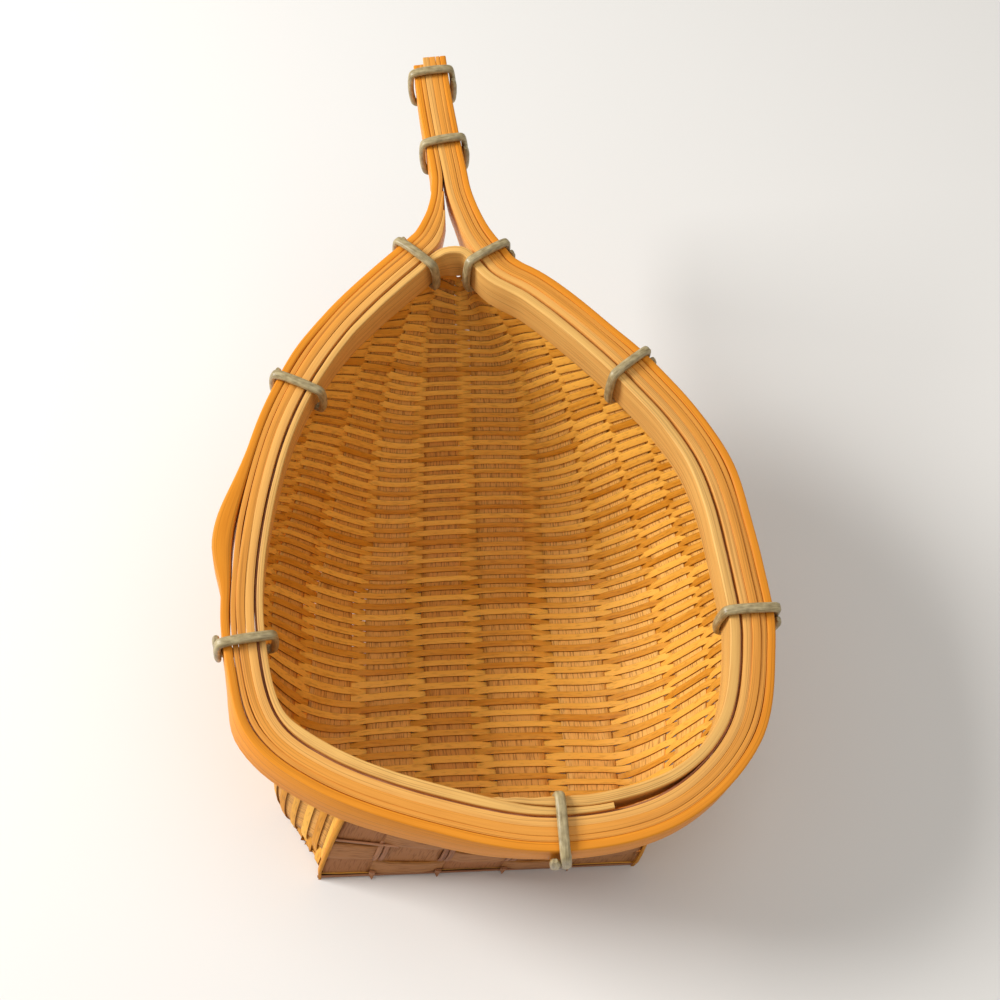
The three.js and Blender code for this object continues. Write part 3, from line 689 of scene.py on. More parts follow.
# The bowl's surface and the rim's lines
class SmoothLine:
    """A centripetal spline through points of the rim's plane, read by the distance along it."""

    def __init__(self, points: np.ndarray, closed: bool, steps: int = 24) -> None:
        """Samples the spline.

        Args:
            points: The points that it goes through, as x and q.
            closed: Whether the last point joins the first.
            steps: How many samples lie between two points.
        """
        count = len(points)
        pieces = []
        for i in range(count if closed else count - 1):
            p1 = points[i]
            p2 = points[(i + 1) % count]
            p0 = points[(i - 1) % count] if closed or i > 0 else 2 * p1 - p2
            p3 = points[(i + 2) % count] if closed or i + 2 < count else 2 * p2 - p1
            pieces.append(self._stretch(p0, p1, p2, p3, np.linspace(0, 1, steps, endpoint=False)))
        pieces.append(points[:1] if closed else points[-1:])
        self.samples = np.concatenate(pieces)
        steps_run = np.linalg.norm(np.diff(self.samples, axis=0), axis=1)
        self.run = np.concatenate([[0.0], np.cumsum(steps_run)])
        self.length = float(self.run[-1])
        self.closed = closed

    @staticmethod
    def _stretch(p0: np.ndarray, p1: np.ndarray, p2: np.ndarray, p3: np.ndarray, t: np.ndarray) -> np.ndarray:
        """Gives the points between p1 and p2 at the shares t."""
        d0, d1, d2 = (max(np.linalg.norm(b - a) ** 0.5, 1e-4) for a, b in ((p0, p1), (p1, p2), (p2, p3)))
        m1 = ((p1 - p0) / d0 - (p2 - p0) / (d0 + d1) + (p2 - p1) / d1) * d1
        m2 = ((p2 - p1) / d1 - (p3 - p1) / (d1 + d2) + (p3 - p2) / d2) * d1
        s = t[:, None]
        return (
            p1 * (2 * s ** 3 - 3 * s ** 2 + 1)
            + m1 * (s ** 3 - 2 * s ** 2 + s)
            + p2 * (3 * s ** 2 - 2 * s ** 3)
            + m2 * (s ** 3 - s ** 2)
        )

    def at(self, station: np.ndarray | float) -> np.ndarray:
        """Gives the points at distances along the line."""
        place = np.mod(station, self.length) if self.closed else np.clip(station, 0, self.length)
        return np.stack([np.interp(place, self.run, self.samples[:, k]) for k in (0, 1)], axis=-1)

    def tangent(self, station: np.ndarray | float) -> np.ndarray:
        """Gives the directions of the line at distances along it."""
        step = 0.4
        if self.closed:
            return unit(self.at(station + step) - self.at(station - step))
        low = np.clip(np.asarray(station) - step, 0, self.length)
        high = np.clip(np.asarray(station) + step, 0, self.length)
        return unit(self.at(high) - self.at(low))

    def nearest(self, place: np.ndarray, within: float = 1.0) -> float:
        """Gives the distance along the line where it comes nearest to a place."""
        count = int(len(self.samples) * within)
        return float(self.run[np.argmin(np.linalg.norm(self.samples[:count] - place, axis=1))])


@dataclass
class RimFrames:
    """Places on the rim: their origins at its top, out across the strips, up along their height."""

    origin: np.ndarray
    out: np.ndarray
    up: np.ndarray
    along: np.ndarray

    def place(self, across: Any, height: Any, along: Any = 0.0) -> np.ndarray:
        """Gives points by their distances out, up and along."""
        across, height, along = (np.asarray(v, float)[..., None] for v in (across, height, along))
        return self.origin + self.out * across + self.up * height + self.along * along


@dataclass
class BowlShape:
    """The outer face of the bowl's wall and the line that its edge follows in the rim, in millimetres."""

    width: float = 109.4
    length: float = 145.5
    rim_front_height: float = 47.0
    rim_tilt: float = 8.5
    wall_top_drop: float = 1.0
    strip_height: float = 8.8
    collar_margin: float = 2.5
    base_width: float = 78.0
    base_centre_x: float = -5.6
    base_setback: float = 4.9
    base_turn: float = -2.5
    base_flat_length: float = 80.0
    base_rise_power: float = 1.6
    base_belly: tuple[float, float] = (14.0, 5.0)
    belly_row: float = 0.13
    base_sharp_length: float = 0.38
    flat_share: tuple[float, float] = (0.96, 0.42)
    fullness: float = 0.86
    lean_right: float = 5.0
    lean_left: float = -8.0
    lean_neck: float = 9.0
    outline: tuple[tuple[float, float], ...] = (
        (-0.190, 0.998), (-0.128, 0.981), (-0.018, 0.878), (0.148, 0.796), (0.590, 0.459),
        (0.857, 0.154), (0.969, -0.253), (0.987, -0.456), (0.905, -0.734), (0.644, -0.929),
        (0.225, -1.002), (-0.201, -0.954), (-0.664, -0.833), (-0.878, -0.711), (-0.987, -0.462),
        (-1.013, -0.165), (-0.921, 0.293), (-0.706, 0.635), (-0.377, 0.924), (-0.285, 0.987),
    )
    corner_right: tuple[float, float] = (0.644, -0.929)
    corner_left: tuple[float, float] = (-0.558, -0.865)
    grid_size: int = 241
    wall: SmoothLine = field(init=False)

    def __post_init__(self) -> None:
        """Works out the rim's plane, the wall line and the bottom line."""
        self.half = np.array([self.width / 2, self.length / 2])
        self.wall = SmoothLine(np.array(self.outline) * self.half, closed=True)
        tilt = math.radians(self.rim_tilt)
        level = math.cos(tilt)
        rise = math.sin(tilt)
        self.plane = np.array([[1, 0, 0], [0, level, rise], [0, -rise, level]])
        self.front_q = float(self.wall.samples[:, 1].min())
        self.rim_base = np.array([0.0, 0.0, self.rim_front_height - self.front_q * rise])
        self.neck = np.array(self.outline[0]) * self.half
        self.collar = self.strip_height + self.collar_margin
        self.right_station = self.wall.nearest(np.array(self.corner_right) * self.half)
        self.left_station = self.wall.nearest(np.array(self.corner_left) * self.half)
        front_y = self.front_q * level + self.base_setback
        self.front_centre = np.array([self.base_centre_x, front_y, 0.0])
        self.neck_low = self.wall_frames(0.0).place(0.0, -self.collar)
        self._draw_bottom()
        self._draw_grid()

    def _draw_bottom(self) -> None:
        """Samples the middle line of the bottom, flat at first and then rising to the neck."""
        share = np.linspace(0, 1, 400)
        y = blend(self.front_centre[1], self.neck_low[1], share)
        start = self.front_centre[1] + self.base_flat_length
        climb = np.clip((y - start) / (self.neck_low[1] - start), 0, None)
        x = blend(self.front_centre[0], self.neck_low[0], share)
        self.bottom = np.stack([x, y, self.neck_low[2] * climb ** self.base_rise_power], axis=-1)
        run = np.concatenate([[0.0], np.cumsum(np.linalg.norm(np.diff(self.bottom, axis=0), axis=1))])
        self.bottom_length = float(run[-1])
        self.bottom_share = run / run[-1]

    def place(self, shares: tuple[float, float]) -> np.ndarray:
        """Gives a place of the rim's plane from its shares of half the width and length."""
        return np.array(shares) * self.half

    def frames(self, line: SmoothLine, station: Any, lean_share: Any = 1.0) -> RimFrames:
        """Gives the rim's frames along a line.

        Args:
            line: The line in the rim's plane.
            station: Distances along it.
            lean_share: How much of the rim's lean the strips take.

        Returns:
            The frames.
        """
        station = np.asarray(station, float)
        point = line.at(station)
        tangent = line.tangent(station)
        out = np.stack([-tangent[..., 1], tangent[..., 0]], axis=-1)
        side = np.where(out[..., 0] > 0, self.lean_right, self.lean_left) * out[..., 0] ** 2
        neck = np.where(out[..., 1] > 0, self.lean_neck, 0.0) * out[..., 1] ** 2
        lean = np.radians(side + neck)[..., None] * np.asarray(lean_share, float)[..., None]
        outward = np.concatenate([out * np.cos(lean), -np.sin(lean)], axis=-1) @ self.plane
        upward = np.concatenate([out * np.sin(lean), np.cos(lean)], axis=-1) @ self.plane
        forward = np.concatenate([tangent, np.zeros_like(lean)], axis=-1) @ self.plane
        origin = self.rim_base + np.concatenate([point, np.zeros_like(lean)], axis=-1) @ self.plane
        return RimFrames(origin, outward, upward, forward)

    def wall_frames(self, station: Any) -> RimFrames:
        """Gives the rim's frames along the wall line."""
        return self.frames(self.wall, station)

    def rim_station(self, row: float, side: int) -> float:
        """Gives where a row meets the wall line, on the right for side 1 and on the left for -1."""
        if side > 0:
            return self.right_station * (1 - row)
        return blend(self.left_station, self.wall.length, row)

    def side_parts(self, row: float, side: int) -> dict[str, np.ndarray]:
        """Gives one half of a row's section by its centre, edge, corner, low and top points."""
        rim = self.wall_frames(self.rim_station(row, side))
        low = rim.place(0.0, -self.collar)
        top = rim.place(0.0, -self.wall_top_drop)
        centre = np.array([np.interp(row, self.bottom_share, self.bottom[:, k]) for k in range(3)])
        turn = math.radians(self.base_turn)
        across = np.array([side * math.cos(turn), -side * math.sin(turn), 0.0])
        to_rim = (low - centre) * np.array([1, 1, 0])
        belly = self.base_belly[0] if side < 0 else self.base_belly[1]
        reach = self.base_width / 2 + belly * ease(row, 0, self.belly_row)
        full = self.fullness * np.linalg.norm(to_rim)
        reach = blend(reach, full, ease(row, self.belly_row, self.base_sharp_length))
        direction = unit(blend(across, unit(to_rim), ease(row, 0, 2 * self.belly_row)))
        corner = centre + direction * reach
        edge = blend(centre, corner, blend(*self.flat_share, ease(row, 0, self.base_sharp_length)))
        return {"centre": centre, "edge": edge, "corner": corner, "low": low, "top": top}

    @staticmethod
    def bend(parts: dict[str, np.ndarray], share: np.ndarray) -> np.ndarray:
        """Gives points of the rounded corner between the bottom and the wall."""
        t = np.asarray(share, float)[..., None]
        return parts["edge"] * (1 - t) ** 2 + 2 * parts["corner"] * t * (1 - t) + parts["low"] * t ** 2

    def _draw_grid(self) -> None:
        """Samples the bowl at even rows and at even shares of each half of their sections."""
        self.grid_rows = np.linspace(0.0, 1.0, self.grid_size)
        shares = np.linspace(0.0, 1.0, self.grid_size // 2 + 1)
        halves = []
        reaches = []
        for side in (-1, 1):
            lines = []
            lengths = []
            for row in self.grid_rows:
                parts = self.side_parts(float(row), side)
                path = np.vstack([parts["centre"], self.bend(parts, np.linspace(0, 1, 61)), parts["top"]])
                run = np.concatenate([[0.0], np.cumsum(np.linalg.norm(np.diff(path, axis=0), axis=1))])
                even = shares * run[-1]
                lines.append(np.stack([np.interp(even, run, path[:, k]) for k in range(3)], axis=-1))
                lengths.append(run[-1])
            halves.append(np.array(lines))
            reaches.append(np.array(lengths))
        self.grid = np.concatenate([halves[0][:, :0:-1], halves[1]], axis=1)
        self.reaches = reaches

    def reach(self, row: Any, side: Any) -> np.ndarray:
        """Gives how far a row goes from the middle line to the wall's top edge on either side."""
        left = np.interp(row, self.grid_rows, self.reaches[0])
        return np.where(np.asarray(side) < 0, left, np.interp(row, self.grid_rows, self.reaches[1]))

    def surface(self, row: Any, arc: Any) -> np.ndarray:
        """Gives points of the wall's outer face.

        Args:
            row: From 0 at the base's front edge to 1 at the neck.
            arc: Distances from the middle line, left of it negative.

        Returns:
            The points.
        """
        row = np.clip(row, 0.0, 1.0)
        half = self.grid_size // 2
        down = row * (self.grid_size - 1)
        side = np.clip((arc / self.reach(row, arc) + 1) * half, 0.0, 2 * half)
        i = np.minimum(down.astype(int), self.grid_size - 2)
        j = np.minimum(side.astype(int), 2 * half - 1)
        u = (down - i)[..., None]
        v = (side - j)[..., None]
        near = blend(self.grid[i, j], self.grid[i, j + 1], v)
        return blend(near, blend(self.grid[i + 1, j], self.grid[i + 1, j + 1], v), u)

    def facing(self, row: Any, arc: Any) -> np.ndarray:
        """Gives unit vectors that point from the wall's outer face into the bowl."""
        along_row = self.surface(row, arc + 0.8) - self.surface(row, arc - 0.8)
        along_bowl = self.surface(row + 0.006, arc) - self.surface(row - 0.006, arc)
        return unit(np.cross(along_row, along_bowl))

    def front(self, across: float, height: float) -> np.ndarray:
        """Gives a point of the front wall.

        Args:
            across: The share from its left corner to its right one.
            height: From 0 at the base to 1 below the rim and 2 at the wall's top edge.

        Returns:
            The point.
        """
        rim = self.wall_frames(blend(self.left_station, self.right_station, across))
        if height > 1:
            return rim.place(0.0, blend(-self.collar, -self.wall_top_drop, height - 1))
        left = self.side_parts(0.0, -1)
        right = self.side_parts(0.0, 1)
        share = height ** 0.5
        sides = blend(self.bend(left, share), self.bend(right, share), across)
        base = blend(left["edge"], right["edge"], across)
        ends = blend(base, blend(left["low"], right["low"], across), height)
        return sides + blend(base, rim.place(0.0, -self.collar), height) - ends

    def front_facing(self, shares: np.ndarray, height: float) -> tuple[np.ndarray, np.ndarray]:
        """Gives points across the front wall at a height, and the directions into the bowl there."""
        step = 0.01
        low = max(height - step, 0.0)
        points = np.array([self.front(s, height) for s in shares])
        across = np.array([self.front(s + step, height) - self.front(s - step, height) for s in shares])
        upward = np.array([self.front(s, height + step) - self.front(s, low) for s in shares])
        return points, unit(np.cross(upward, across))


@dataclass
class Weave:
    """The wefts and stakes of the bowl."""

    bowl: BowlShape
    weft_count: int = 133
    weft_thickness: float = 0.34
    weft_lift: float = 0.4
    weft_droop: tuple[float, float] = (0.15, 0.135)
    droop_power: float = 2.5
    weft_trend: tuple[float, float] = (1.3, 0.98)
    trend_shares: tuple[float, float] = (0.26, 0.46)
    straight_reach: float = 40.0
    straight_rows: tuple[float, float] = (0.02, 0.8)
    weft_rise: float = 0.04
    fill_on_stake: float = 1.06
    fill_in_gap: float = 1.08
    end_margin: float = 3.0
    stake_count: int = 10
    stake_thickness: float = 0.36
    pitch_rows: tuple[float, ...] = (0.0, 0.2, 0.45, 0.75, 1.0)
    pitch_left: tuple[float, ...] = (15.4, 15.4, 15.4, 12.2, 8.5)
    pitch_right: tuple[float, ...] = (15.4, 18.0, 18.0, 17.6, 16.0)
    stake_shift: tuple[float, ...] = (6.0, 2.2, 0.3, 0.0, 0.0)
    wall_start: float = 2.5
    wall_spread: float = 0.4
    stake_share: float = 0.36
    front_share: float = 0.45
    front_margin: float = 0.004
    stake_columns: int = 7
    stake_least: float = 2.5
    # The stakes' tones from left to right: the right-hand stakes are painted paler as painted light on the
    # lit right side, those to the left and middle darker as painted shade, with some tone that differs from
    # stake to stake.
    stake_tones_and_painted_light: tuple[float, ...] = (0.55, 0.55, 0.45, 0.5, 0.35, 0.5, 0.65, 0.75, 0.95, 1.0)
    stake_margin: float = 7.4
    middle_depth: float = 0.95
    front_top: float = 1.9
    last_row: float = 0.998
    seed: int = 7

    def __post_init__(self) -> None:
        """Draws the widths and the places of the wefts."""
        source = np.random.default_rng(self.seed)
        shares = (np.arange(self.weft_count) + 0.5) / self.weft_count
        trend = blend(*self.weft_trend, ease(shares, *self.trend_shares))
        widths = trend * source.uniform(0.88, 1.12, self.weft_count)
        edges = np.concatenate([[0.0], np.cumsum(widths)]) / widths.sum()
        self.weft_rows = blend(0.004, 1.0 + max(self.weft_droop), (edges[:-1] + edges[1:]) / 2)
        self.weft_steps = np.diff(edges) * (0.996 + max(self.weft_droop))
        self.weft_slack = np.where(source.uniform(size=self.weft_count) < 0.07, 0.93, 1.0)
        self.middle = (self.stake_count - 1) / 2

    def arc_at(self, phase: Any, row: Any) -> np.ndarray:
        """Gives how far from the middle line a place lies, as the stakes spread on the walls.

        Args:
            phase: The place, counted in stakes.
            row: Its row.

        Returns:
            The arc, left of the middle line negative.
        """
        steps = np.asarray(phase, float) - self.middle
        left = np.interp(row, self.pitch_rows, self.pitch_left)
        right = np.interp(row, self.pitch_rows, self.pitch_right)
        beyond = np.clip(-steps - self.wall_start, 0.0, None) * self.wall_spread
        shift = np.interp(row, self.pitch_rows, self.stake_shift)
        return np.where(steps < 0, (steps - beyond) * left, steps * right) + shift

    def middle_lean(self, row: float, side: int) -> float:
        """Gives how many rows a weft moves back per millimetre of arc to leave the middle line squarely."""
        row = float(np.clip(row, *self.straight_rows))
        rows = row + np.array([0.0, 0.0, -0.01, 0.01])
        spots = self.bowl.surface(rows, np.array([0.0, 4.0 * side, 0.0, 0.0]))
        outward = unit(spots[1] - spots[0])
        backward = unit(spots[3] - spots[2])
        rise = self.weft_rise * max(side, 0) * ease(row, 0.05, 0.3)
        return float(rise - outward @ backward) / self.bowl.bottom_length

    def weft_line(self, row: float, phases: np.ndarray) -> tuple[np.ndarray, np.ndarray]:
        """Finds where a weft, straight in the middle and leaning forward on both walls, meets the phases.

        Args:
            row: The row that it has on the middle line.
            phases: The places along it, counted in stakes.

        Returns:
            The rows and the arcs of those places.
        """
        droop = np.where(phases < self.middle, *self.weft_droop) * ease(row, 0.05, 0.6)
        leans = (self.middle_lean(row, -1), self.middle_lean(row, 1))
        low = row - 1.2 * droop + min(*leans, 0.0) * self.straight_reach
        high = np.full_like(phases, row + max(*leans, 0.0) * self.straight_reach)
        for _ in range(30):
            rows = (low + high) / 2
            arcs = self.arc_at(phases, rows)
            share = np.minimum(np.abs(arcs) / self.bowl.reach(rows, arcs), 1.05)
            pull = np.where(arcs < 0, *leans) * (1 - np.exp(-np.abs(arcs) / self.straight_reach))
            beyond = rows + droop * share ** self.droop_power - pull * self.straight_reach > row
            low = np.where(beyond, low, rows)
            high = np.where(beyond, rows, high)
        return rows, arcs

    def weft_parts(self, number: int) -> list[Guide]:
        """Draws the guides of one weft, which is in two parts where it runs into the neck."""
        row = float(self.weft_rows[number])
        steps = np.array([-0.33, -0.17, 0.0, 0.17, 0.32, 0.38, 0.44, 0.5, 0.56, 0.62])
        phases = (np.arange(-3, self.stake_count + 3)[:, None] + steps).ravel()
        rows, arcs = self.weft_line(row, phases)
        inside = np.abs(arcs) < self.bowl.reach(rows, arcs) - self.end_margin
        kept = inside & (rows < self.last_row)
        parts = []
        for first, last in self.stretches(kept):
            if last - first > 3:
                parts.append(self.weft_guide(number, phases[first:last], rows[first:last], arcs[first:last]))
        return parts

    @staticmethod
    def stretches(kept: np.ndarray) -> list[tuple[int, int]]:
        """Gives the first and last places of each unbroken stretch."""
        edges = np.flatnonzero(np.diff(np.concatenate([[0], kept.astype(int), [0]])))
        return list(zip(edges[::2], edges[1::2]))

    def weft_guide(self, number: int, phases: np.ndarray, rows: np.ndarray, arcs: np.ndarray) -> Guide:
        """Draws one guide and finds how wide the weft is to fill its room there."""
        bowl = self.bowl
        points = bowl.surface(rows, arcs)
        facing = bowl.facing(rows, arcs)
        step = self.weft_steps[number] / 2
        room = bowl.surface(rows + step, arcs) - bowl.surface(rows - step, arcs)
        heading = unit(np.gradient(points, axis=0))
        room = room - heading * np.sum(room * heading, axis=1, keepdims=True)
        off_stake = np.abs(phases - np.round(phases))
        room_left = bowl.reach(rows, arcs) - np.abs(arcs)
        swing = ease(room_left, self.stake_margin, self.stake_margin + 4.0)
        on_stake = (1 - ease(off_stake, 0.24, 0.38)) * swing
        fill = blend(self.fill_in_gap, self.fill_on_stake, on_stake) * self.weft_slack[number]
        spread = np.linalg.norm(room, axis=1) * fill
        place = points + facing * self.middle_depth
        return Guide(place, facing, phases, number, swing, taper=2.0 - spread, spread=spread)

    def wefts(self) -> list[bpy.types.Object]:
        """Weaves the wefts, in three groups from the front to the neck."""
        tree = strip_tree()
        made = []
        groups = np.array_split(np.arange(self.weft_count), 3)
        for name, numbers in zip(("wefts_front", "wefts_middle", "wefts_back"), groups):
            guides = [guide for number in numbers for guide in self.weft_parts(int(number))]
            piece = guide_object(name, guides)
            grow(piece, tree, {
                "Breadth": MM,
                "Thickness": self.weft_thickness * MM,
                "Rounding": 0.09 * MM,
                "Lift": self.weft_lift * MM,
                "Flat Share": 0.31,
                "Corner Steps": 2,
                "Seed": self.seed + int(numbers[0]),
                "Material": Finish.WEFT.material(),
            })
            made.append(piece)
        return made

    def stake_line(self, number: int, row: float) -> np.ndarray | None:
        """Gives a stake's points across one row, or None where the rim leaves it no room."""
        sides = self.arc_at(number + np.array([-self.stake_share, self.stake_share]), row)
        start = max(sides[0], self.stake_margin - float(self.bowl.reach(row, -1)))
        end = min(sides[1], float(self.bowl.reach(row, 1)) - self.stake_margin)
        if end - start < self.stake_least:
            return None
        arcs = np.linspace(start, end, self.stake_columns)
        rows = np.full(self.stake_columns, row)
        inward = self.bowl.facing(rows, arcs) * (self.middle_depth - self.stake_thickness / 2)
        return self.bowl.surface(rows, arcs) + inward

    def stake(self, number: int, name: str) -> bpy.types.Object:
        """Makes one stake, which turns up the front wall where it starts on the base."""
        lines = []
        painted_shades = []
        shares = self.front_shares(number)
        if shares[-1] - shares[0] > self.front_margin:
            for height in np.linspace(self.front_top, 0.0, 26):
                points, facing = self.bowl.front_facing(shares, float(height))
                lines.append(points + facing * (self.middle_depth - self.stake_thickness / 2))
                # Painted shade: the rows up the front wall take the darker colour that stands in for the
                # shadow under the rim.
                painted_shades.append(1.0)
        for row in np.linspace(0.012, self.last_row, 90):
            line = self.stake_line(number, float(row))
            if line is not None:
                lines.append(line)
                painted_shades.append(0.0)
            elif lines:
                break
        piece = patch_object(name, [np.array(lines)], [np.array(painted_shades)])
        grow(piece, bpy.data.node_groups.get("strips_on_the_bowl") or patch_tree(), {
            "Thickness": self.stake_thickness * MM,
            "Tone": self.stake_tones_and_painted_light[number],
            "Seed": self.seed + number,
            "Material": Finish.STAKE.material(),
        })
        return piece

    def front_place(self, phase: Any) -> np.ndarray:
        """Gives where a phase lies on the front wall, as a share from its left corner to its right one."""
        left = self.bowl.side_parts(0.0, -1)
        right = self.bowl.side_parts(0.0, 1)
        reach = np.linalg.norm(left["edge"] - left["centre"])
        return (self.arc_at(phase, 0.0) + reach) / np.linalg.norm(right["edge"] - left["edge"])

    def front_shares(self, number: int) -> np.ndarray:
        """Gives a stake's columns on the front wall as shares from its left corner to its right one."""
        ends = self.front_place(number + np.array([-self.front_share, self.front_share]))
        return np.linspace(*np.clip(ends, self.front_margin, 1 - self.front_margin), self.stake_columns)


@dataclass
class FrontWall:
    """The coarse weave of the front wall: level bands and pairs of narrow upright strips."""

    bowl: BowlShape
    weave: Weave
    band_count: int = 8
    band_pitch: float = 0.21
    band_width: float = 0.175
    band_start: float = 0.03
    stakes: tuple[int, int] = (2, 7)
    band_thickness: float = 0.5
    wave_depth: float = 0.5
    narrow_breadth: float = 1.2
    narrow_thickness: float = 0.4
    narrow_spacing: float = 1.5
    upright_heights: tuple[float, float] = (0.5, 0.18)
    rod_breadth: float = 0.9
    rod_height: float = 0.445
    rod_end: float = 0.21
    corner_width: float = 0.009
    corner_depth: float = 0.007
    corner_tone: float = 0.1
    corner_room: float = 0.06
    tooth: float = 0.6
    tooth_height: float = 0.07
    tooth_width: float = 1.5
    seed: int = 31

    def stake_wave(self, share: np.ndarray) -> np.ndarray:
        """Gives 1 on every other upright stake and -1 on those between them."""
        phases = np.arange(self.stakes[0] - 1.0, self.stakes[1] + 2.0)
        phase = np.interp(share, self.weave.front_place(phases), phases)
        return np.clip(1.5 * np.cos(np.pi * (phase - self.stakes[0])), -1.0, 1.0)

    def band(self, number: int) -> np.ndarray:
        """Draws one level band, which goes over and under the stakes, as a patch."""
        shares = np.linspace(0.004, 0.996, 81)
        low = self.band_start + number * self.band_pitch
        side = 1 if number % 2 else -1
        depth = self.weave.middle_depth - side * self.wave_depth * self.stake_wave(shares)
        lines = []
        for height in np.linspace(low, low + self.band_width, 6):
            points, facing = self.bowl.front_facing(shares, float(height))
            lines.append(points + facing * (depth - self.band_thickness / 2)[:, None])
        return np.array(lines).transpose(1, 0, 2)

    def corner(self, side: int) -> np.ndarray:
        """Draws the strip that closes the corner between the front wall and a side wall as a patch."""
        lines = []
        for height in np.linspace(0.0, 1.9, 26):
            end = 0.5 + side * 0.5
            shares = [end - side * self.corner_width * part for part in (1, 0.5, 0)]
            points = [self.bowl.front(share, float(height)) for share in shares]
            for part in (0.5, 1):
                parts = self.bowl.side_parts(self.corner_depth * part, side)
                if height > 1:
                    points.append(blend(parts["low"], parts["top"], height - 1))
                else:
                    points.append(self.bowl.bend(parts, np.array(height ** 0.5)))
            lines.append(points if side < 0 else points[::-1])
        return np.array(lines)

    def upright(self, share: float) -> Guide:
        """Draws the guide of one narrow upright strip, which goes over the lowest band."""
        heights = np.linspace(*self.upright_heights, 14)
        way = np.linspace(0.0, np.pi, 14)
        depths = self.weave.middle_depth - 2 * self.wave_depth * np.sin(way) + 0.3
        return self.standing(share, heights, depths, np.full(14, self.narrow_breadth))

    def standing(self, share: float, heights: np.ndarray, depths: np.ndarray, widths: np.ndarray) -> Guide:
        """Draws a guide that goes down the front wall.

        Args:
            share: Its place from the left corner to the right one.
            heights: The heights of its points.
            depths: How far inside the wall's outer face they lie.
            widths: The strip's widths there.

        Returns:
            The guide.
        """
        points = []
        facings = []
        for height, depth in zip(heights, depths):
            point, facing = self.bowl.front_facing(np.array([share]), float(height))
            points.append((point + facing * depth)[0])
            facings.append(facing[0])
        return Guide(np.array(points), np.array(facings), spread=widths)

    def tooth_guide(self, share: float) -> Guide:
        """Draws the guide of one cut end that sticks out under the base's front edge."""
        heights = np.linspace(self.tooth_height, 0.0, 4)
        guide = self.standing(share, heights, np.full(4, 0.3), np.full(4, self.tooth_width))
        foot = self.bowl.front(share, 0.0) + np.array([0.0, -self.tooth, 0.35])
        points = np.vstack([guide.points[:-1], foot])
        return Guide(points, guide.facing, spread=self.tooth_width * np.array([1.0, 1.0, 0.9, 0.1]))

    def rod(self, start: float, end: float, height: float) -> Guide:
        """Draws the guide of one thin strip that runs level on the outside of the front wall."""
        points, facing = self.bowl.front_facing(np.linspace(start, end, 40), height)
        return Guide(points + facing * 0.4, facing, spread=np.full(40, self.rod_breadth))

    def build(self) -> list[bpy.types.Object]:
        """Makes the bands, the corner strips and the narrow strips."""
        patches = [self.band(i) for i in range(self.band_count)]
        # Painted shade: every row of the bands takes the darker colour that stands in for the shadow on the
        # front wall.
        bands = patch_object("front_bands", patches, [np.ones(len(patch)) for patch in patches])
        corners = patch_object("corner_strips", [self.corner(-1), self.corner(1)])
        for piece, finish, tone in ((bands, Finish.STAKE, 0.7), (corners, Finish.WEFT, self.corner_tone)):
            grow(piece, bpy.data.node_groups["strips_on_the_bowl"], {
                "Thickness": self.band_thickness * MM,
                "Tone": tone,
                "Seed": self.seed,
                "Material": finish.material(),
            })
        beside = self.narrow_spacing / 2 / np.linalg.norm(self.bowl.front(1, 0) - self.bowl.front(0, 0))
        centres = self.weave.front_place(np.arange(*self.stakes) + 0.5)
        centres = centres[centres < 1 - self.corner_room]
        guides = [self.upright(c + side * beside) for c in centres for side in (-1, 1)]
        guides += [self.tooth_guide(c) for c in centres]
        guides += [self.rod(0.01, self.rod_end, self.rod_height), self.rod(0.0, 1.0, 0.02)]
        narrow = guide_object("front_uprights", guides)
        # Painted shade: the narrow strips, teeth and rods on the front wall take the darker finish that
        # stands in for shadow.
        grow(narrow, bpy.data.node_groups["strips_on_guides"], {
            "Breadth": MM,
            "Thickness": self.narrow_thickness * MM,
            "Rounding": 0.15 * MM,
            "Flat Share": 0.3,
            "Corner Steps": 1,
            "Seed": self.seed,
            "Material": Finish.PAINTED_SHADE.material(),
        })
        return [bands, corners, narrow]


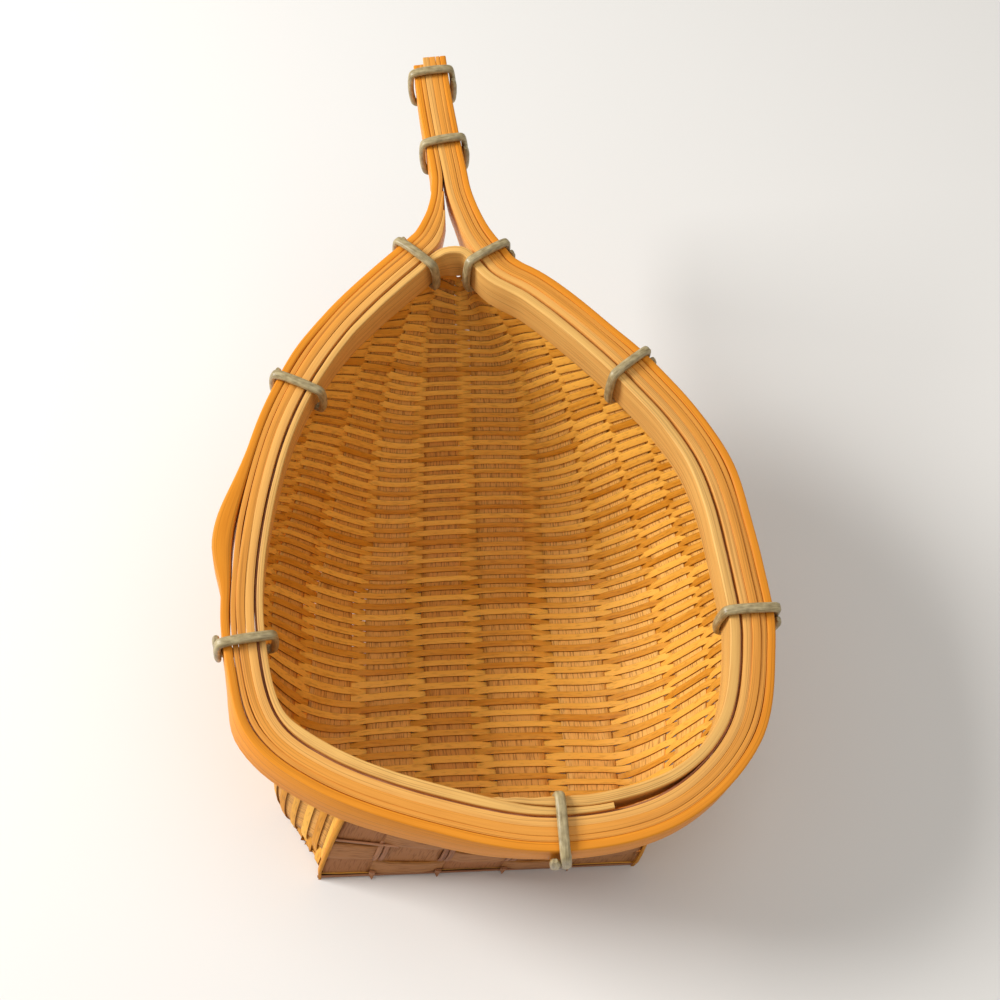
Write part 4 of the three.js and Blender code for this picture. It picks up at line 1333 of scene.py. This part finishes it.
@dataclass
class Rim:
    """The inner hoop, and the four splints that grip the wall and run on as the handle."""

    bowl: BowlShape
    splint_names: tuple[str, ...] = ("inner", "third", "second", "outer")
    splint_thickness: tuple[float, ...] = (1.9, 1.85, 1.2, 1.95)
    splint_gap: tuple[float, ...] = (-0.8, 0.04, 0.22, 0.22)
    splint_finish: tuple[Finish, ...] = (
        Finish.PALE_SPLINT, Finish.SPLINT, Finish.SPLINT, Finish.SKIN_SPLINT,
    )
    splint_rounding: tuple[float, ...] = (0.07, 0.07, 0.07, 0.35)
    arm_inner: float = 0.05
    arm_thinning: float = 0.88
    arm_opening: float = 0.3
    front_opening: float = 0.03
    front_flush: float = 0.25
    splint_height: tuple[float, ...] = (8.8, 8.9, 8.7, 8.9)
    splint_top: tuple[float, ...] = (0.0, 0.08, -0.06, 0.05)
    fit_gap: float = 0.3
    face_tilt: float = 13.0
    hoop_outer: float = -1.1
    hoop_thickness: float = 2.4
    edge_height: float = 6.0
    edge_thickness: float = 0.46
    edge_gap: float = 0.02
    edge_drop: float = 1.3
    edge_ragged: float = 0.3
    hoop_height: float = 8.8
    hoop_overlap: float = 30.0
    hoop_step_in: float = 26.0
    square_end_room: float = 3.0
    hoop_feather: float = 24.0
    feather_thickness: float = 0.5
    feather_length: float = 11.0
    short_ends: tuple[float, ...] = (14.0, 20.0)
    close_length: float = 12.0
    shoulder_bulge: float = 3.0
    shoulder_thicker: float = 2.5
    hoop_start: float = 0.55
    hoop_left: float = 0.62
    lap_gap: float = 0.15
    hoop_start_length: float = 36.0
    lap_bow: float = 0.6
    shoulder_below: float = 14.0
    shoulder_above: float = 25.0
    handle_length: float = 61.0
    handle_sway: float = 7.8
    handle_bow: float = 0.25
    handle_side: float = 2.8
    arms_join: float = 14.0
    arm_gap: float = 0.0
    left_arm_short: float = 3.0
    lean_fade: float = 18.0
    right_free: tuple[tuple[float, float], ...] = ((1.5, 3.0),)
    left_free: tuple[tuple[float, float], ...] = ((-5.4, 1.0), (-3.8, 8.4))
    arm_right: tuple[float, float] = (-0.071, 0.933)
    arm_left: tuple[float, float] = (-0.333, 0.954)
    shoulder: tuple[float, float] = (-1.011, -0.144)
    square_end: tuple[float, float] = (0.448, -0.979)
    step: float = 1.6
    seed: int = 11

    def __post_init__(self) -> None:
        """Draws the line that the splints follow and finds the places on it."""
        wall = self.bowl.wall
        points = [self.seam(share) for share in (1, 0.8, 0.6, 0.4, 0.2, 0)]
        points += [self.bowl.neck + np.array(place) for place in self.right_free]
        start = wall.nearest(self.bowl.place(self.arm_right))
        end = wall.nearest(self.bowl.place(self.arm_left))
        stations = np.linspace(start, end, 91)
        tangents = wall.tangent(stations)
        out = np.stack([-tangents[:, 1], tangents[:, 0]], axis=-1)
        points += list(wall.at(stations) + out * self.fit_gap)
        points += [self.bowl.neck + np.array(place) for place in self.left_free]
        for share in (0.12, 0.25, 0.4, 0.6, 0.8, 1 - self.left_arm_short / self.handle_length):
            points.append(self.seam(share) - np.array([self.arm_gap, 0.0]))
        self.line = SmoothLine(np.array(points), closed=False)
        self.right_station = self.line.nearest(self.bowl.place(self.arm_right))
        self.left_station = self.line.nearest(self.bowl.place(self.arm_left))
        self.shoulder_station = self.line.nearest(self.bowl.place(self.shoulder))

    def seam(self, share: float) -> np.ndarray:
        """Gives a point of the handle's middle seam, from where the arms join to the tip."""
        sway = self.handle_sway * (share + self.handle_bow * share * (1 - share))
        x = self.bowl.neck[0] - self.handle_side - sway
        return np.array([x, self.bowl.neck[1] + blend(self.arms_join, self.handle_length, share)])

    def on_bowl(self, station: Any) -> Any:
        """Gives 1 where the splints lie on the bowl, falling to 0 along the arms to the handle."""
        arrive = ease(station, self.right_station - self.lean_fade, self.right_station)
        leave = ease(station, self.left_station, self.left_station + self.lean_fade)
        return arrive * (1 - leave)

    def frames(self, station: Any) -> RimFrames:
        """Gives the frames along the splints' line, leaning on the bowl and upright on the handle."""
        station = np.asarray(station, float)
        return self.bowl.frames(self.line, station, self.on_bowl(station))

    def at_front(self, station: np.ndarray) -> np.ndarray:
        """Gives 1 at the front, where the splints are pressed flush, falling to 0 on the sides."""
        return ease(-self.frames(station).out[:, 1], 0.35, 0.9)

    def opening(self, station: np.ndarray) -> np.ndarray:
        """Gives the share of their gaps that the splints keep, least at the front and on the handle."""
        share = blend(1.0, self.front_opening, self.at_front(station))
        uneven = 0.7 + 0.5 * wander(len(station), self.step, self.seed + 70, 12.0)
        return blend(self.arm_opening, share, self.on_bowl(station)) * uneven

    def shoulder_swell(self, station: np.ndarray) -> np.ndarray:
        """Gives 1 at the left shoulder, falling to 0 on both sides of it."""
        past = station - self.shoulder_station
        near = np.minimum(1, np.where(past > 0, past / self.shoulder_above, -past / self.shoulder_below))
        return np.cos(near * np.pi / 2) ** 2

    def end(self, layer: int) -> float:
        """Gives where a splint's left end lies on the line."""
        if layer < len(self.short_ends):
            return self.left_station + self.short_ends[layer]
        return self.line.length

    def thinning(self, layer: int, station: np.ndarray) -> np.ndarray:
        """Gives the share of a splint's thickness that is left along it."""
        share = blend(self.arm_thinning, 1.0, self.on_bowl(station))
        if layer == len(self.splint_names) - 1:
            thicker = self.shoulder_thicker / self.splint_thickness[layer]
            share = share + thicker * self.shoulder_swell(station)
        if layer < len(self.short_ends):
            end = self.end(layer)
            least = self.feather_thickness / self.splint_thickness[layer]
            share = blend(share, least, ease(station, end - self.feather_length, end))
        return share

    def inner_face(self, layer: int, station: np.ndarray) -> np.ndarray:
        """Gives how far out a splint's inner face lies along it."""
        across = blend(self.arm_inner, self.splint_gap[0], self.on_bowl(station))
        for i in range(layer):
            gap = self.splint_gap[i + 1] * self.opening(station)
            room = self.splint_thickness[i] * self.thinning(i, station) + gap
            if i < len(self.short_ends):
                room = room * (1 - ease(station, self.end(i), self.end(i) + self.close_length))
            across = across + room
        if layer == len(self.splint_names) - 1:
            across = across + (self.shoulder_bulge - self.shoulder_thicker) * self.shoulder_swell(station)
        return across

    def outer_face(self, station: np.ndarray) -> np.ndarray:
        """Gives how far out the outer face of the last splint lies."""
        last = len(self.splint_names) - 1
        return self.inner_face(last, station) + self.splint_thickness[last] * self.thinning(last, station)

    def tilt(self, layer: int, frames: RimFrames) -> np.ndarray:
        """Gives how far a splint turns its face up, which the outer one does at the front left."""
        if layer < len(self.splint_names) - 1:
            return np.zeros(len(frames.out))
        left = ease(-frames.out[:, 0], 0.05, 0.4)
        front = ease(-frames.out[:, 1], 0.1, 0.5)
        return math.radians(self.face_tilt) * left * front

    def splint(self, layer: int) -> bpy.types.Object:
        """Makes one splint from the handle's tip round the bowl to its left end."""
        end = self.end(layer)
        station = np.linspace(0.0, end, int(end / self.step))
        thickness = self.splint_thickness[layer]
        taper = self.thinning(layer, station)
        uneven = blend(1.0, self.front_flush, self.at_front(station))
        sideways = wander(len(station), self.step, self.seed + layer, 22.0) * 0.07 * uneven
        lift = wander(len(station), self.step, self.seed + 10 + layer, 30.0) * 0.15 * uneven
        across = self.inner_face(layer, station) + thickness * taper / 2 + sideways
        half = self.splint_height[layer] / 2
        frames = self.frames(station)
        tilt = self.tilt(layer, frames)
        height = self.splint_top[layer] - half * np.cos(tilt) + lift
        facing = frames.out * np.cos(tilt)[:, None] + frames.up * np.sin(tilt)[:, None]
        guide = Guide(frames.place(across + half * np.sin(tilt), height), facing, taper=taper)
        piece = guide_object(f"splint_{self.splint_names[layer]}", [guide])
        grow(piece, bpy.data.node_groups["strips_on_guides"], {
            "Breadth": self.splint_height[layer] * MM,
            "Thickness": thickness * MM,
            "Rounding": self.splint_rounding[layer] * MM,
            "Flat Share": 0.3,
            "Corner Steps": 2,
            "Seed": self.seed + layer,
            "Material": self.splint_finish[layer].material(),
        })
        return piece

    def wall_edge(self) -> bpy.types.Object:
        """Makes the pressed edge of the woven wall, which fills the room between hoop and splints."""
        wall = self.bowl.wall
        run = np.linspace(0.0, wall.length + self.step, int(wall.length / self.step))
        ragged = wander(len(run), self.step, self.seed + 60, 3.0) * self.edge_ragged
        frames = self.bowl.wall_frames(run)
        middle = self.hoop_outer + self.edge_gap + self.edge_thickness / 2
        guide = Guide(frames.place(middle, ragged - self.edge_drop - self.edge_height / 2), frames.out)
        piece = guide_object("wall_edge", [guide])
        # Painted shade: the pressed edge takes the same darker finish that stands in for shadow on the front
        # wall.
        grow(piece, bpy.data.node_groups["strips_on_guides"], {
            "Breadth": self.edge_height * MM,
            "Thickness": self.edge_thickness * MM,
            "Rounding": 0.05 * MM,
            "Flat Share": 0.3,
            "Corner Steps": 1,
            "Seed": self.seed + 60,
            "Material": Finish.PAINTED_SHADE.material(),
        })
        return piece

    def hoop(self) -> bpy.types.Object:
        """Makes the inner hoop, from its square end once round to the feathered end that laps inside it."""
        wall = self.bowl.wall
        start = wall.nearest(self.bowl.place(self.square_end))
        total = wall.length + self.hoop_overlap
        run = np.linspace(0.0, total, int(total / self.step))
        doubled = ease(run, wall.length - self.hoop_step_in, wall.length - self.square_end_room)
        feather = ease(run, total - self.hoop_feather, total)
        taper = blend(1.0, self.feather_thickness / self.hoop_thickness, feather)
        taper = taper * blend(self.hoop_start, 1.0, ease(run, 0.0, self.hoop_start_length))
        frames = self.bowl.wall_frames(start + run)
        taper = taper * blend(1.0, self.hoop_left, ease(-frames.out[:, 0], 0.5, 0.95))
        frayed = wander(len(run), self.step, self.seed + 41, 2.2) * feather
        taper = taper * (1.0 + 0.5 * frayed)
        last = np.clip((run - total + self.hoop_feather) / self.hoop_feather, 0, 1)
        step_in = self.hoop_thickness * self.hoop_start + self.lap_gap
        outer = self.hoop_outer - step_in * doubled - self.lap_bow * np.sin(np.pi * last)
        rough = wander(len(run), self.step, self.seed + 40, 4.0) * blend(0.12, 0.35, feather)
        guide = Guide(
            frames.place(outer - self.hoop_thickness * taper / 2, -self.hoop_height / 2 + rough),
            frames.out,
            taper=taper,
        )
        piece = guide_object("hoop_strip", [guide])
        grow(piece, bpy.data.node_groups["strips_on_guides"], {
            "Breadth": self.hoop_height * MM,
            "Thickness": self.hoop_thickness * MM,
            "Rounding": 0.4 * MM,
            "Flat Share": 0.3,
            "Corner Steps": 3,
            "Seed": self.seed + 20,
            "Material": Finish.HOOP.material(),
        })
        return piece


@dataclass
class Ties:
    """The nine ties: single turns of flattened waxed cord with a fused knob at the end."""

    rim: Rim
    breadth: float = 2.3
    thickness: float = 1.6
    clearance: float = 0.12
    pitch: float = 2.6
    softness: int = 8
    strip_height: float = 8.8
    outer: float = 6.9
    lap: float = 1.0
    bow: float = 0.45
    tip_room: float = 5.0
    places: tuple[tuple[str, float, float], ...] = (
        ("neck_right", -0.071, 0.933),
        ("right_upper", 0.559, 0.482),
        ("right_lower", 0.980, -0.371),
        ("front", 0.225, -1.002),
        ("left_lower", -0.991, -0.448),
        ("left_upper", -0.859, 0.426),
        ("neck_left", -0.358, 0.937),
    )
    handle_places: tuple[tuple[str, float], ...] = (("handle_tip", 0.87), ("handle_neck", 0.37))
    seed: int = 53

    def turn(self, rim: RimFrames, inner: float, outer: float) -> Guide:
        """Draws one turn of cord round the strips, from the outer face over the top and back to it."""
        offset = self.thickness / 2 + self.clearance
        bottom = -self.strip_height
        corners = ((outer, 0.0, 0), (inner, 0.0, 90), (inner, bottom, 180), (outer, bottom, 270))
        flat = []
        for number in range(5):
            across, height, first = corners[number % 4]
            before = corners[(number + 3) % 4]
            for share in np.linspace(0.0, 1.0, 8, endpoint=False)[1:]:
                side = math.radians(first)
                bow = 4 * self.bow * share * (1 - share)
                x = blend(before[0], across, share) + bow * math.cos(side)
                y = blend(before[1], height, share) + bow * math.sin(side)
                flat.append((x, y, side))
            if number == 4:
                break
            for angle in np.radians(np.linspace(first, first + 90, 7)):
                flat.append((across, height, angle))
        table = np.array(flat)
        radial = np.stack([np.cos(table[:, 2]), np.sin(table[:, 2])], axis=-1)
        along = self.pitch * (np.linspace(0, 1, len(table)) - 0.5)
        spots = table[:, :2] + radial * offset
        for _ in range(self.softness):
            spots[1:-1] = (spots[:-2] + 2 * spots[1:-1] + spots[2:]) / 4
        facing = rim.out * radial[:, :1] + rim.up * radial[:, 1:]
        spread = np.ones(len(table))
        spread[-4:] = (1.0, 1.05, 0.95, 0.5)
        spread[:2] = (0.75, 0.95)
        return Guide(rim.place(spots[:, 0], spots[:, 1], along), unit(facing), spread=spread)

    def build(self) -> list[tuple[str, bpy.types.Object]]:
        """Makes every tie and gives it with the name of its place."""
        rim = self.rim
        inner = rim.hoop_outer - rim.hoop_thickness
        guides = []
        for name, x, q in self.places:
            station = rim.bowl.wall.nearest(rim.bowl.place((x, q)))
            lap = self.lap if name == "front" else 0.0
            guides.append((name, self.turn(rim.bowl.wall_frames(station), inner - lap, self.outer)))
        for name, share in self.handle_places:
            station = rim.line.nearest(rim.seam(share), within=0.5)
            left = -float(rim.outer_face(np.array([rim.line.length - self.tip_room]))[0])
            right = float(rim.outer_face(np.array([station]))[0])
            guides.append((name, self.turn(rim.frames(station), left, right)))
        made = []
        for number, (name, guide) in enumerate(guides):
            piece = guide_object(f"cord_{name}", [guide])
            grow(piece, bpy.data.node_groups["strips_on_guides"], {
                "Breadth": self.breadth * MM,
                "Thickness": self.thickness * MM,
                "Rounding": 0.78 * MM,
                "Flat Share": 0.3,
                "Corner Steps": 4,
                "Seed": self.seed + number,
                "Material": Finish.CORD.material(),
            })
            made.append((name, piece))
        return made


@dataclass
class Stage:
    """The pale floor, the soft lights and the camera at the photograph's angle."""

    target: tuple[float, float, float] = (1.657, -26.612, 58.6)
    distance: float = 315.0
    elevation: float = 56.0
    view_angle: float = 40.0

    def build(self) -> None:
        """Makes the camera, the floor and the lights."""
        scene = bpy.context.scene
        scene.view_settings.view_transform = "Standard"
        self._camera(scene)
        self._floor()
        self._lights(scene)

    def _camera(self, scene: bpy.types.Scene) -> None:
        """Makes the camera and gives it to the scene."""
        data = bpy.data.cameras.new("camera")
        data.sensor_fit = "VERTICAL"
        data.angle = math.radians(self.view_angle)
        data.clip_start = 0.01
        tilt = math.radians(self.elevation)
        camera = bpy.data.objects.new("camera", data)
        away = np.array([0.0, -math.cos(tilt), math.sin(tilt)]) * self.distance
        camera.location = (np.array(self.target) + away) * MM
        camera.rotation_euler = (math.pi / 2 - tilt, 0.0, 0.0)
        scene.collection.objects.link(camera)
        scene.camera = camera

    def _floor(self) -> None:
        """Makes the floor that the basket stands on."""
        half = 3.0
        mesh = bpy.data.meshes.new("floor")
        corners = [(-half, -half, 0), (half, -half, 0), (half, half, 0), (-half, half, 0)]
        mesh.from_pydata(corners, [], [(0, 1, 2, 3)])
        floor = bpy.data.objects.new("floor", mesh)
        bpy.context.scene.collection.objects.link(floor)
        graph = ShaderGraph("pale_floor")
        mesh.materials.append(graph.surface({"Base Color": paint("e9e6e1"), "Roughness": 0.75}))

    def _lights(self, scene: bpy.types.Scene) -> None:
        """Makes the world and the area lights."""
        world = bpy.data.worlds.new("soft_room")
        world.use_nodes = True
        background = world.node_tree.nodes["Background"]
        background.inputs["Color"].default_value = (1.0, 0.99, 0.97, 1.0)
        background.inputs["Strength"].default_value = 0.38
        scene.world = world
        for name, place, size, power in (
            ("key", (-0.82, 0.12, 0.62), 0.4, 11.0),
            ("fill", (0.3, -0.1, 1.0), 0.9, 2.5),
        ):
            data = bpy.data.lights.new(name, "AREA")
            data.size = size
            data.energy = power
            lamp = bpy.data.objects.new(name, data)
            lamp.location = place
            direction = -np.array(place) / np.linalg.norm(place)
            lamp.rotation_euler = (
                math.acos(-direction[2]),
                0.0,
                math.atan2(direction[0], -direction[1]) + math.pi,
            )
            scene.collection.objects.link(lamp)


def main() -> None:
    """Builds the basket and its stage."""
    logging.basicConfig(level=logging.INFO, format="%(name)s %(message)s")
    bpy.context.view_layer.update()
    Stage().build()
    bowl = BowlShape()
    weave = Weave(bowl)
    for piece in weave.wefts():
        settle(piece, ["woven_wall"])
    for number in range(weave.stake_count):
        settle(weave.stake(number, f"stake_strip_{number + 1:02d}"), [f"stake_{number + 1:02d}"])
    for piece in FrontWall(bowl, weave).build():
        settle(piece)
    rim = Rim(bowl)
    settle(rim.wall_edge())
    settle(rim.hoop(), ["inner_hoop"])
    for layer, name in enumerate(rim.splint_names):
        settle(rim.splint(layer), [f"rim_splint_{name}"])
    for name, piece in Ties(rim).build():
        settle(piece, [f"tie_{name}"])


if __name__ == "__main__":
    main()
